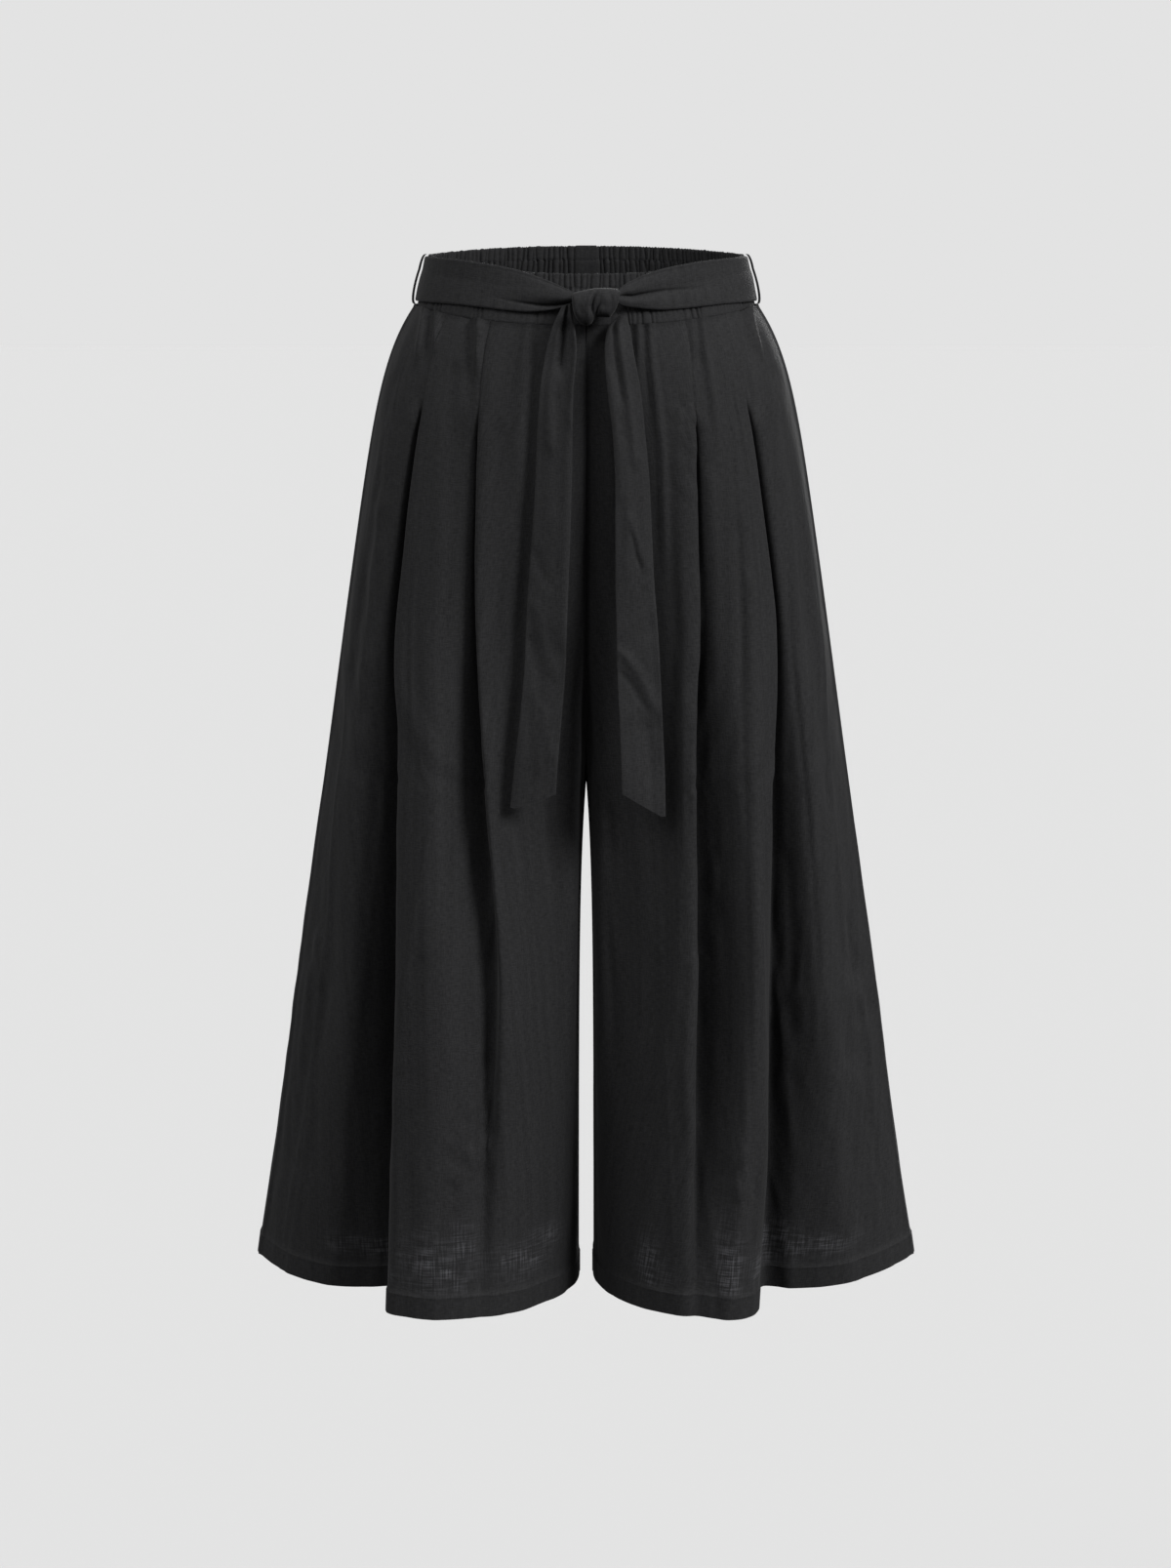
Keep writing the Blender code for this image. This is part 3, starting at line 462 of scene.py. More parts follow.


# Creases: where along (x, z), half width, rise of the cloth (negative is a groove).
creases = {
    "left": [
        ([(-43.8, -20), (-49, -45), (-54, -104), (-59, -190)], 5.0, -1.9),
        ([(-36, -20), (-41, -50), (-46, -110)], 4.0, 1.0),
        ([(-90.3, -18), (-88.7, -45), (-90.3, -78)], 3.1, -3.0),
        ([(-85.5, -20), (-86.3, -50)], 2.7, -1.5),
        ([(-97.6, -22), (-96.7, -57), (-97.6, -110)], 4.5, 1.6),
        ([(-122.4, -14), (-124, -37), (-126, -60)], 3.0, -2.6),
        ([(-132, -14), (-135.2, -37), (-141, -70)], 3.4, -3.1),
        ([(-127, -14), (-130, -45), (-133, -76)], 3.3, 1.8),
        ([(-161, -78), (-174, -128), (-182.3, -168), (-188.2, -230), (-186, -321)], 4.5, 1.6),
        ([(-108, -70), (-112, -200), (-110, -330)], 9.0, 0.9),
        ([(-70, -120), (-72, -260), (-66, -400)], 6.0, 0.8),
        ([(-88, -560), (-84, -640), (-90, -742)], 5.0, 0.8),
        ([(-92, -640), (-95, -690), (-88, -740)], 4.0, -1.0),
        ([(-78, -660), (-82, -700), (-78, -755)], 4.0, -0.9),
        ([(-64.7, -437), (-55.8, -470), (-50.3, -535), (-44.7, -618), (-38.3, -702), (-29, -790)], 3.4, 1.4),
        ([(-150, -420), (-148, -520), (-152, -640)], 7.0, -0.9),
        ([(-135, -560), (-138, -680), (-132, -800)], 8.0, 0.8),
        ([(-232, -560), (-246, -650), (-250, -720)], 3.2, -1.4),
        ([(-224, -600), (-236, -700), (-238, -790)], 4.0, 1.3),
        ([(-262, -640), (-270, -720), (-268, -800)], 3.6, 1.1),
        ([(-205, -330), (-216, -430), (-222, -520)], 5.0, 1.0),
    ],
    "right": [
        ([(30.9, -24), (32, -55)], 2.7, -2.0),
        ([(41.4, -24), (43.7, -49), (41.3, -74)], 2.9, -2.0),
        ([(36, -24), (37, -60), (35, -90)], 3.3, 1.2),
        ([(51, -22), (52.6, -57), (56.6, -88), (63.1, -144), (66.8, -260)], 3.0, -2.3),
        ([(46.1, -24), (50.2, -73), (53.4, -120)], 3.0, 1.5),
        ([(85.5, -20), (88.7, -45), (89.5, -66)], 2.7, -1.4),
        ([(94.3, -16), (96.7, -49), (100.7, -73), (108.1, -125)], 3.2, -3.0),
        ([(90, -18), (92.5, -45), (94, -80)], 3.1, 1.2),
        ([(134.4, -12), (137.6, -37), (146, -66)], 3.4, -3.2),
        ([(129, -12), (131, -40), (136, -70)], 3.0, 1.4),
        ([(159.3, -73), (171.5, -112), (177.5, -168), (186.1, -249), (184, -330)], 5.0, 1.4),
        (
            [
                (161.4, -168), (168.4, -249), (175.4, -330), (184.1, -411),
                (192.2, -493), (202, -618), (214, -744),
            ],
            3.2, 1.3,
        ),
        ([(126.4, -200), (130, -330), (133.2, -452), (138.5, -660), (145, -868)], 3.6, 1.3),
        ([(134.4, -240), (139, -330), (143.2, -452), (148.5, -660), (152, -840)], 3.6, -1.2),
        ([(19.1, -440), (19.2, -535), (28, -700)], 4.0, 1.2),
        ([(170, -480), (176, -560), (174, -640)], 5.0, 0.8),
        ([(180, -560), (186, -620), (184, -690)], 4.0, -0.6),
        ([(164, -600), (169, -660), (167, -720)], 4.0, -0.7),
        ([(226, -540), (236, -620), (234, -690)], 3.2, 1.6),
        ([(236, -600), (248, -680), (250, -760)], 3.2, -1.5),
        ([(244, -520), (252, -600), (262, -690)], 4.2, 1.2),
        ([(104, -160), (108, -260), (112, -380)], 6.0, -1.0),
        ([(72, -150), (76, -290), (74, -420)], 6.0, 0.9),
        ([(90, -560), (84, -660), (92, -760)], 4.4, -1.2),
        ([(60, -560), (57, -660), (60, -780)], 5.0, 1.0),
    ],
    "back": [
        ([(24, -60), (27, -160), (22, -280)], 5.0, -1.4),
        ([(48, -40), (52, -120), (58, -240)], 4.0, 1.6),
        ([(66, -40), (74, -130), (82, -220)], 3.6, -1.8),
        ([(96, -40), (108, -120), (120, -200)], 4.0, 1.5),
        ([(112, -40), (126, -110), (140, -180)], 3.4, -1.6),
        ([(130, -300), (140, -420), (138, -520)], 5.0, 1.4),
        ([(52, -420), (60, -520), (56, -640)], 5.0, -1.4),
        ([(96, -520), (104, -620), (98, -740)], 4.0, 1.5),
        ([(184, -480), (196, -600), (204, -720)], 4.4, -1.6),
        ([(232, -560), (246, -660), (252, -780)], 4.0, 1.4),
        ([(30, -600), (28, -700), (34, -800)], 4.4, 1.2),
        ([(160, -300), (172, -380), (176, -470)], 4.0, -1.3),
    ],
}
# Small rumples: where (x, z), how far they reach across and down, how high, and their lean.
rumples = {
    "left": [
        (-85, -700, 12, 58, 1.7, 0.5), (-100, -742, 18, 46, 1.3, -0.4), (-236, -600, 22, 90, 1.3, 0.35),
        (-258, -728, 18, 70, 1.2, -0.3), (-174, -190, 14, 60, 0.8, 0.3), (-52, -300, 14, 90, 0.8, 0.2),
        (-150, -700, 18, 60, 0.6, 0.3), (-190, -330, 12, 70, 0.9, -0.2),
    ],
    "right": [
        (84, -130, 14, 44, 1.2, -0.5), (90, -330, 16, 90, 1.0, 0.4), (172, -610, 16, 90, 1.2, 0.3),
        (232, -640, 20, 90, 1.7, -0.35), (206, -420, 12, 80, 1.0, 0.25), (110, -520, 16, 90, 1.0, 0.3),
        (60, -640, 16, 90, 0.8, 0.2), (188, -250, 12, 70, 0.9, -0.2), (128, -760, 22, 50, 0.9, 0.3),
    ],
    "back": [
        (60, -300, 20, 70, 1.2, 0.4), (104, -420, 22, 70, 1.5, -0.4), (180, -560, 22, 90, 1.5, 0.3),
        (236, -660, 20, 80, 1.3, -0.3), (76, -680, 20, 80, 1.3, 0.35), (40, -480, 14, 60, 1.0, 0.3),
        (150, -740, 24, 50, 1.0, 0.3), (30, -250, 14, 50, 0.9, -0.5), (190, -300, 16, 80, 0.9, 0.3),
    ],
}
streaks = {"count": 26, "wide": (1.3, 4.6), "high": (0.25, 0.85), "long": (90, 330)}
gathersAtBack = {"count": 27, "inner": 14, "outer": 140, "deep": 1.7, "reach": (34, 95)}


def creaseRise(x, z, table):  # how far the listed creases lift each point
    rise = np.zeros_like(x)
    for path, width, deep in table:
        xs, zs = np.array(path).T
        middle = smoothThrough(zs, xs, np.clip(z, zs[-1], zs[0]).ravel())[0].reshape(z.shape)
        ends = ease((zs[0] + 8 - z) / 16) * ease((z - zs[-1] + 4) / (0.35 * (zs[0] - zs[-1]) + 4))
        rise += deep * ends * np.exp(-(((x - middle) / width) ** 2))
    return rise


def rumpleRise(x, z, table, seed):
    rise = np.zeros_like(x)
    for k, (atX, atZ, wide, long, high, lean) in enumerate(table):
        across, down = (x - atX) / wide, (z - atZ) / long
        near = np.exp(-(across**2) - down**2)
        hills = softNoise(across * 1.7 + down * 2.2 * lean + 9, down * 3.4 - across * lean * 2 + 9, seed + k)
        hills += 0.5 * softNoise(across * 3.6 + 5, down * 6 - across * lean * 4 + 5, seed + k + 40)
        rise += high * near * hills
    return rise


def streakRise(share, z, width, seed):  # long thin ridges and grooves that run down with the cloth
    rng = np.random.default_rng(seed)
    rise = np.zeros_like(z)
    for _ in range(streaks["count"]):
        place, middle = rng.uniform(0.04, 0.96), rng.uniform(-820, -120)
        wide, high, long = (rng.uniform(*streaks[k]) for k in ("wide", "high", "long"))
        high *= rng.choice((-1, 1))
        wander = 0.012 * softNoise(z / 90, place * 50, seed + 1)
        near = np.exp(-(((share - place - wander) * width / wide) ** 2))
        rise += high * near * np.exp(-(((z - middle) / long) ** 4))
    return rise


def backGathers(out, fall):
    rng = np.random.default_rng(21)
    rise = np.zeros_like(out)
    places = np.linspace(gathersAtBack["inner"], gathersAtBack["outer"], gathersAtBack["count"])
    for place in places:
        lean = 1 + 0.0012 * fall
        width = rng.uniform(1.2, 2.2)
        reach = rng.uniform(*gathersAtBack["reach"])
        near = np.exp(-(((out / lean - place - rng.uniform(-1.2, 1.2)) / width) ** 2))
        rise -= gathersAtBack["deep"] * rng.uniform(0.6, 1.1) * near * ease(1 - fall / reach)
    return rise


def rollSeams(centre, side):  # rolls in beside a seam, from the distance to the seams of both edges
    wide = body["seamRollWidth"]
    atCentre, atSide = np.exp(-((centre / wide) ** 2)), np.exp(-((side / wide) ** 2))
    return -body["seamRoll"] * atCentre - body["sideRoll"] * atSide


def makeHalf(side, name, frontLines, seed):
    upper = np.linspace(body["waistSeam"] - 0.02, -130, 52)
    middle = np.linspace(-130, body["hem"] + body["hemTurn"], 165)[1:]
    lower = body["hem"] + np.array([19.3, body["hemStitch"], 18, 16, 13, 9.5, 6, 3, 1, 0])
    heights = np.concatenate([upper, middle, lower])
    plan, seam = halfPlan(side, frontLines, heights)
    tall = liftedHeights(heights, plan)
    grid = np.stack([side * plan[..., 0], -plan[..., 1], tall], -1)
    gridOut = gridNormals(grid) * side
    closed = heights > body["crotch"]
    gridOut[closed, 0], gridOut[closed, -1] = (0, -1, 0), (0, 1, 0)
    stitchRow = np.argmin(np.abs(heights - body["hem"] - body["hemStitch"]))
    pieces = {}
    for part, span in (("front", slice(0, seam + 1)), ("back", slice(seam, None))):
        points = grid[:, span].copy()
        x, z = points[..., 0], points[..., 2]
        along = alongRows(points, 0)
        length = along[:, -1:]
        normals = gridOut[:, span]
        fall = np.maximum(body["waistSeam"] - heights, 0)[:, None] + np.zeros_like(x)
        fromSeam = np.minimum(along, length - along)
        clear = ease(fromSeam / 12)
        slow = softNoise(along / 46 + seed, z / 190, seed) + 0.6 * softNoise(along / 21, z / 120, seed + 1)
        fine = softNoise(along / 9 + z / 70, z / 38 + 0.3 * slow, seed + 2)
        rise = ease(fall / 60) * (1.0 * slow + 0.3 * fine)
        if part == "front":
            folds = body["creaseStrength"] * creaseRise(x, z, creases[name])
            rise += folds + rumpleRise(x, z, rumples[name], seed * 10)
        else:
            out = np.abs(x)
            folds = body["creaseStrength"] * creaseRise(out, z, creases["back"])
            rise += folds + backGathers(out, fall)
            rise += rumpleRise(out + 5 * side, z, rumples["back"], seed * 10)
        rise += ease(fall / 90) * streakRise(along / length, z, length, seed * 7 + (part == "back"))
        apart = ease((np.abs(x) - 2) / 10)       # no creases beside the middle plane
        rise = rise * clear * apart
        rise += rollSeams(along, length - along) if part == "front" else rollSeams(length - along, along)
        rise[stitchRow] -= body["stitchPinch"]
        rise -= body["waistRoll"] * np.exp(-fall / 1.3)
        outer = points + normals * rise[..., None]
        turned = ease((body["hem"] + body["hemTurn"] + 0.5 - heights) / 1.0)[:, None]
        wall = body["wall"] + (body["hemWall"] - body["wall"]) * turned
        trim = np.zeros_like(x)
        trim[:, -1 if part == "front" else 0] = body["seamGap"] / 2
        tangent = np.gradient(points, axis=1)
        tangent /= np.linalg.norm(tangent, axis=2, keepdims=True)
        outer += tangent * (trim * (-1 if part == "front" else 1))[..., None]
        inner = outer - normals * wall[..., None]
        middleColumn = x.shape[1] // 2
        uv = np.stack([alongRows(points, middleColumn) * side, -downColumns(points)], -1)
        # painted light showing through one layer of cloth above the hem
        paintedBacklight = paintedBacklightMark(x, z, part)
        piece = makeShell(f"{part}{name.title()}Panel", outer, inner, linen, uv, {"paintedBacklight": paintedBacklight}, side < 0)
        pieces[part] = (piece, outer, normals, heights)
    return pieces


# Painted light: where one layer of cloth shows the light behind it, painted into its colour: x, z, reach
# across and down, strength.
paintedBacklightPlaces = {
    "front": (
        (-128, -828, 23, 27, 1.0), (-106, -812, 14, 20, 0.6), (-60, -828, 22, 13, 0.8),
        (-36, -814, 12, 12, 0.5), (-182, -836, 20, 9, 0.8), (-212, -832, 16, 9, 0.5),
        (54, -828, 8, 22, 0.9), (64, -838, 12, 12, 0.5), (122, -828, 11, 32, 1.0),
        (112, -834, 12, 16, 0.5), (164, -832, 20, 17, 1.0), (198, -834, 30, 9, 0.9),
    ),
    "back": (
        (-150, -816, 26, 30, 0.7), (-96, -824, 18, 20, 0.5), (-40, -812, 14, 28, 0.5),
        (-212, -810, 20, 18, 0.5), (60, -818, 16, 34, 0.6), (118, -826, 22, 18, 0.6),
        (176, -812, 18, 34, 0.7), (228, -806, 18, 14, 0.4),
    ),
}
paintedBacklightRise = (190, 100, 11)   # from here, over this reach, the painted-light patches' lower edge lifts this far


# painted light: how strongly each point shows the light behind one layer, above the hem
def paintedBacklightMark(x, z, part):
    mark = np.zeros_like(x)
    for atX, atZ, wide, long, strength in paintedBacklightPlaces[part]:
        near = np.exp(-(((x - atX) / wide) ** 2) - ((z - atZ) / long) ** 2)
        mark = np.maximum(mark, strength * near)
    ragged = 0.75 + 0.5 * softNoise(x / 9, z / 7, 71)
    start, reach, lift = paintedBacklightRise
    bottom = body["hem"] + body["hemTurn"] + lift * ease((np.abs(x) - start) / reach)
    return np.clip(mark * ragged, 0, 1) * ease((z - bottom - 1) / 2)


panels = {}
for side, name, lines in ((-1, "left", frontLeft), (1, "right", frontRight)):
    for part, made in makeHalf(side, name, lines, 3 if side < 0 else 8).items():
        panels[f"{part}_{name}"] = made
print("panels made:", {k: len(v[0].data.polygons) for k, v in panels.items()})

for node, made in panels.items():
    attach(made[0], "root")
    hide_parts(node)


# Waistband: linen shirred over elastic, with a stitched row below its top edge

waistband = {
    "heights": (22, 9.5, -21),       # top, stitched row, seam to the panels
    "breadths": (134, 135.5, 144),   # half breadths at those heights
    "wall": 3.0,
    "gathers": 84,                   # on each half
    "columns": 8,                    # mesh columns to a gather
    "grooveDeep": 2.3,
    "grooveWide": 0.19,              # as a share of a gather
    "stitchPinch": 0.35,
    "backFlat": 20,                  # ungathered stretch at the centre back
    "frontFlat": 0.1,                # gathers left between the clusters, below the stitched row
    "clusters": (-132, -124, -89, -38, 34, 46, 53, 86, 93, 134),
    "clusterWide": 4.5,
    "fullness": 1.5,                 # flat width against worn width
    "ruffle": 1.1,                   # how far its top edge dips in a groove
    "foot": 0.9,                     # turned in at the seam to the panels
    "edgeHigh": 1.3,                 # its top edge rounds off over this height
    "edgeIn": 1.15,
}


def bandBreadth(height):
    return np.interp(height, waistband["heights"][::-1], waistband["breadths"][::-1])


def waistTilt(fwd):
    dip = -body["frontDip"] * (fwd / body["frontRise"][0]) ** 2
    return np.where(fwd > 0, dip, body["backLift"] * (fwd / body["backRise"][0]) ** 2)


def ringPoints(count, front):  # plan points evenly spaced along half of the waist ring, left to right
    angles = np.linspace(0, math.pi, 2881)
    power = 2 / body["ringPower"]
    x = -np.sign(np.cos(angles)) * np.abs(np.cos(angles)) ** power * waistband["breadths"][2]
    depth = body["frontRise"][0] if front else -body["backRise"][0]
    fwd = np.abs(np.sin(angles)) ** power * depth
    length = np.concatenate([[0], np.cumsum(np.hypot(np.diff(x), np.diff(fwd)))])
    at = np.linspace(0, length[-1], count)
    return np.stack([np.interp(at, length, x), np.interp(at, length, fwd)], -1), length[-1]


def ringNormals(ring):
    a = waistband["breadths"][2]
    b = np.where(ring[:, 1] >= 0, body["frontRise"][0], body["backRise"][0])
    power = body["ringPower"] - 1
    normal = np.stack(
        [
            np.sign(ring[:, 0]) * np.abs(ring[:, 0] / a) ** power / a,
            np.sign(ring[:, 1]) * np.abs(ring[:, 1] / b) ** power / b,
        ],
        -1,
    )
    return normal / np.linalg.norm(normal, axis=1, keepdims=True)


def makeWaistband(front):
    count = waistband["gathers"] * waistband["columns"] + 1
    ring, length = ringPoints(count, front)
    normals = ringNormals(ring)
    top, stitch, seam = waistband["heights"]
    rows = np.concatenate(
        [
            top - np.array([0, 0.25, 0.7, 1.3, 2.1]),
            np.linspace(top - 3.4, stitch + 1.2, 6),
            stitch + np.array([0.6, 0.2, -0.2, -0.6]),
            np.linspace(stitch - 1.2, seam + 2.2, 10),
            seam + np.array([1.4, 0.8, 0.3, 0.02]),
        ]
    )
    rng = np.random.default_rng(31 if front else 32)
    t = np.arange(count) / waistband["columns"]
    total = waistband["gathers"] + 1
    place = np.arange(total) + rng.uniform(-0.24, 0.24, total)
    step = rng.uniform(-0.3, 0.3, total)          # a groove jogs at the stitched row
    lean = rng.uniform(-0.02, 0.02, total)
    deep = rng.uniform(0.45, 1.0, total)
    deepBelow = rng.uniform(0.5, 1.0, total)
    deep[[0, -1]] = deepBelow[[0, -1]] = 0
    flat = (not front) & (np.abs(ring[:, 0]) < waistband["backFlat"] / 2)
    height = rows[:, None] + np.zeros(count)
    above = ease((height - stitch + 1.0) / 2.0)
    groove, innerGroove = np.zeros_like(height), np.zeros_like(height)
    for k in range(total):
        centre = place[k] + step[k] * (above - 0.5) + lean[k] * (height - stitch)
        high = deep[k] * above + deepBelow[k] * (1 - above)
        for face, shift in ((groove, 0), (innerGroove, 0.5 if 0 < k < total - 2 else 0)):
            away = np.abs(t - centre - shift) / waistband["grooveWide"]
            shape = 0.75 * np.exp(-(away**1.6)) + 0.25 * np.exp(-((away / 2.4) ** 2))
            np.maximum(face, shape * high, out=face)
    if front:
        near = np.zeros(count)
        for x in waistband["clusters"]:
            near = np.maximum(near, np.exp(-(((ring[:, 0] - x) / waistband["clusterWide"]) ** 2)))
        below = ease((stitch - 14 - height) / 9)
        outside = 1 - below * (1 - waistband["frontFlat"]) * (1 - near)
    else:
        outside = np.ones_like(height)
    groove, innerGroove = groove * ~flat, innerGroove * ~flat
    pinch = waistband["stitchPinch"] * np.exp(-(((height - stitch) / 0.9) ** 2))
    edge = np.clip((height - (top - waistband["edgeHigh"])) / waistband["edgeHigh"], 0, 1)
    rounding = waistband["edgeIn"] * (1 - np.sqrt(1 - edge**2 * 0.96))
    foot = waistband["foot"] * np.exp(-(height - seam) / waistband["foot"])
    outerIn = waistband["grooveDeep"] * groove * outside + pinch + rounding + foot
    innerIn = waistband["grooveDeep"] * innerGroove + pinch + rounding
    over = np.maximum(outerIn + innerIn - (waistband["wall"] - 0.5), 0)
    outerIn, innerIn = outerIn - over / 2, innerIn - over / 2
    scale = (bandBreadth(height) / waistband["breadths"][2])[..., None]
    plan = ring * scale
    outer = plan - normals * outerIn[..., None]
    inner = plan - normals * (waistband["wall"] - innerIn)[..., None]
    ruffle = -waistband["ruffle"] * np.maximum(groove, innerGroove) * ease((height - stitch) / (top - stitch))
    tall = height + waistTilt(ring[:, 1]) + ruffle

    def stand(flatPlan):
        y = -flatPlan[..., 1].copy()
        y[:, [0, -1]] = (-1 if front else 1) * body["seamGap"] / 2
        return np.stack([flatPlan[..., 0], y, tall], -1)

    along = np.linspace(0, length, count) * waistband["fullness"]
    uv = np.stack(np.broadcast_arrays(along[None, :], height), -1)
    name = "waistbandFront" if front else "waistbandBack"
    row = np.argmin(np.abs(rows - stitch - 0.2))
    level = np.zeros((count, 1))
    away = np.concatenate([normals * (1, -1), level], axis=1)
    seams = [(stand(outer)[row], away), (stand(inner)[row], -away)]
    return makeShell(name, stand(outer), stand(inner), bandLinen, uv, None, not front), seams


(bandFront, frontSeams), (bandBack, backSeams) = makeWaistband(True), makeWaistband(False)
for piece, node in ((bandFront, "waistband_front"), (bandBack, "waistband_back")):
    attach(piece, "root")
    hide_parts(node)
print("waistband made:", len(bandFront.data.polygons), len(bandBack.data.polygons))


# Sash: a flat tube of linen tied at the front, soft and bunched beside the knot

sash = {
    "cloth": 1.4,
    "clear": 0.5,                    # between the gathers of the waistband and the sash
    "rows": 38,
    "frontColumns": 190,
    "backColumns": 150,
    "centreBack": (26, -12, 0.0, 0.4),   # top, bottom, lift and ridge there
    "edgeRound": 0.6,
    "finer": 4,                      # points of the ring to a front column
    "backValley": 0.6,               # where the valley would be at the back, with no depth
}

# From the knot to the side: out, top, bottom, lift, ridge, valley's place across, valley's depth.
sashLeft = (
    (9.9, -8.5, -16.5, 9.0, 1.2, 0.92, 0.8),
    (16, -6.0, -19.5, 7.0, 2.6, 0.86, 2.6),
    (24, -2.6, -22.2, 4.8, 3.4, 0.83, 3.2),
    (36, 2.0, -24.0, 2.4, 3.0, 0.82, 2.6),
    (50, 6.6, -24.6, 1.2, 1.9, 0.79, 1.5),
    (65, 10.6, -23.6, 0.7, 1.0, 0.77, 0.6),
    (82, 13.6, -21.8, 0.4, 0.6, 0.7, 0.1),
    (110, 17.4, -19.0, 0.4, 0.4, 0.6, 0.0),
    (144, 20.0, -17.0, 0.8, 1.2, 0.6, 0.0),
)
sashRight = (
    (25.9, -8.5, -17.5, 8.6, 1.2, 0.4, 0.8),
    (31, -3.5, -20.0, 6.2, 2.6, 0.47, 2.6),
    (39, 0.8, -21.2, 3.8, 3.2, 0.56, 3.4),
    (50, 5.4, -22.4, 2.2, 2.6, 0.55, 2.8),
    (63, 9.4, -23.0, 1.1, 1.7, 0.54, 1.9),
    (79, 12.8, -22.2, 0.5, 1.0, 0.56, 1.0),
    (96, 15.6, -20.6, 0.3, 0.5, 0.58, 0.4),
    (116, 18.0, -18.6, 0.3, 0.4, 0.6, 0.0),
    (144, 20.0, -17.0, 0.8, 1.2, 0.6, 0.0),
)


def makeSash():
    front, _ = ringPoints(sash["frontColumns"] * sash["finer"], True)
    rear, _ = ringPoints(sash["backColumns"], False)
    share = np.linspace(0, 1, sash["rows"])
    sections = []
    for side, table in ((-1, sashLeft), (1, sashRight)):
        table = np.array(table, float)
        first, last = table[0, 0], waistband["breadths"][2]
        half = front[front[:, 0] * side >= first]
        half = half[np.argsort(np.abs(half[:, 0]))][:: sash["finer"]]
        half[0] = (side * first, body["frontRise"][0] * float(ringShare(first / last)))
        half[-1] = (side * last, 0)
        fields = smoothThrough(-table[:, 0], table[:, 1:].T, -np.abs(half[:, 0]))
        sections.append((half, fields))
    left, right = sections
    backShare = (rear[1:-1, 1] / body["backRise"][0]) ** 2
    backFields = np.zeros((6, len(rear) - 2))
    for k, middle in enumerate(sash["centreBack"]):
        sideEdge = sashLeft[-1][k + 1]
        backFields[k] = sideEdge + (middle - sideEdge) * backShare
    backFields[4] = sash["backValley"]
    ring = np.concatenate([left[0], rear[1:-1], right[0][::-1]])
    top, bottom, lift, ridge, valleyAt, valley = np.concatenate(
        [left[1], backFields, right[1][:, ::-1]], axis=1
    )
    place = share[:, None]
    height = top + (bottom - top) * place
    swell = np.sin(np.pi * place) ** 0.8
    groove = 0.9 * np.exp(-(((place - valleyAt) / 0.036) ** 2))
    groove += 0.75 * np.exp(-(((place - valleyAt) / 0.15) ** 2))
    lip = np.exp(-(((place - 0.075) / 0.04) ** 2)) * np.clip(valley / 3, 0, 1)
    column = np.arange(len(ring))[None, :]
    soft = softNoise(column / 26, place * 2.2, 41) * 0.5
    soft = soft + softNoise(column / 9, place * 3 + column / 60, 42) * 0.16
    soft = soft * np.sin(np.pi * place)
    closest = sash["clear"] + sash["cloth"]
    stand = closest + lift + ridge * swell - valley * groove - 0.9 * lip + np.maximum(soft, -0.2)
    stand = np.maximum(stand, closest)
    edgeIn = 1 - np.sqrt(1 - np.clip(1 - np.minimum(place, 1 - place) / 0.04, 0, 1) ** 2)
    normals = ringNormals(ring)
    scale = (bandBreadth(height - waistTilt(ring[:, 1])) / waistband["breadths"][2])[..., None]
    plan = ring * scale
    outerPlan = plan + normals * (stand - sash["edgeRound"] * edgeIn)[..., None]
    innerPlan = plan + normals * (stand - sash["cloth"] + sash["edgeRound"] * edgeIn * 0.5)[..., None]
    outer = np.stack([outerPlan[..., 0], -outerPlan[..., 1], height], -1)
    inner = np.stack([innerPlan[..., 0], -innerPlan[..., 1], height], -1)
    along = alongRows(outer, 0).mean(axis=0)
    uv = np.stack(np.broadcast_arrays(along[None, :], -place * 40), -1)
    return makeShell("sashBand", outer, inner, sashLinen, uv, None, True)


sashBand = makeSash()
print("sash made:", len(sashBand.data.polygons))

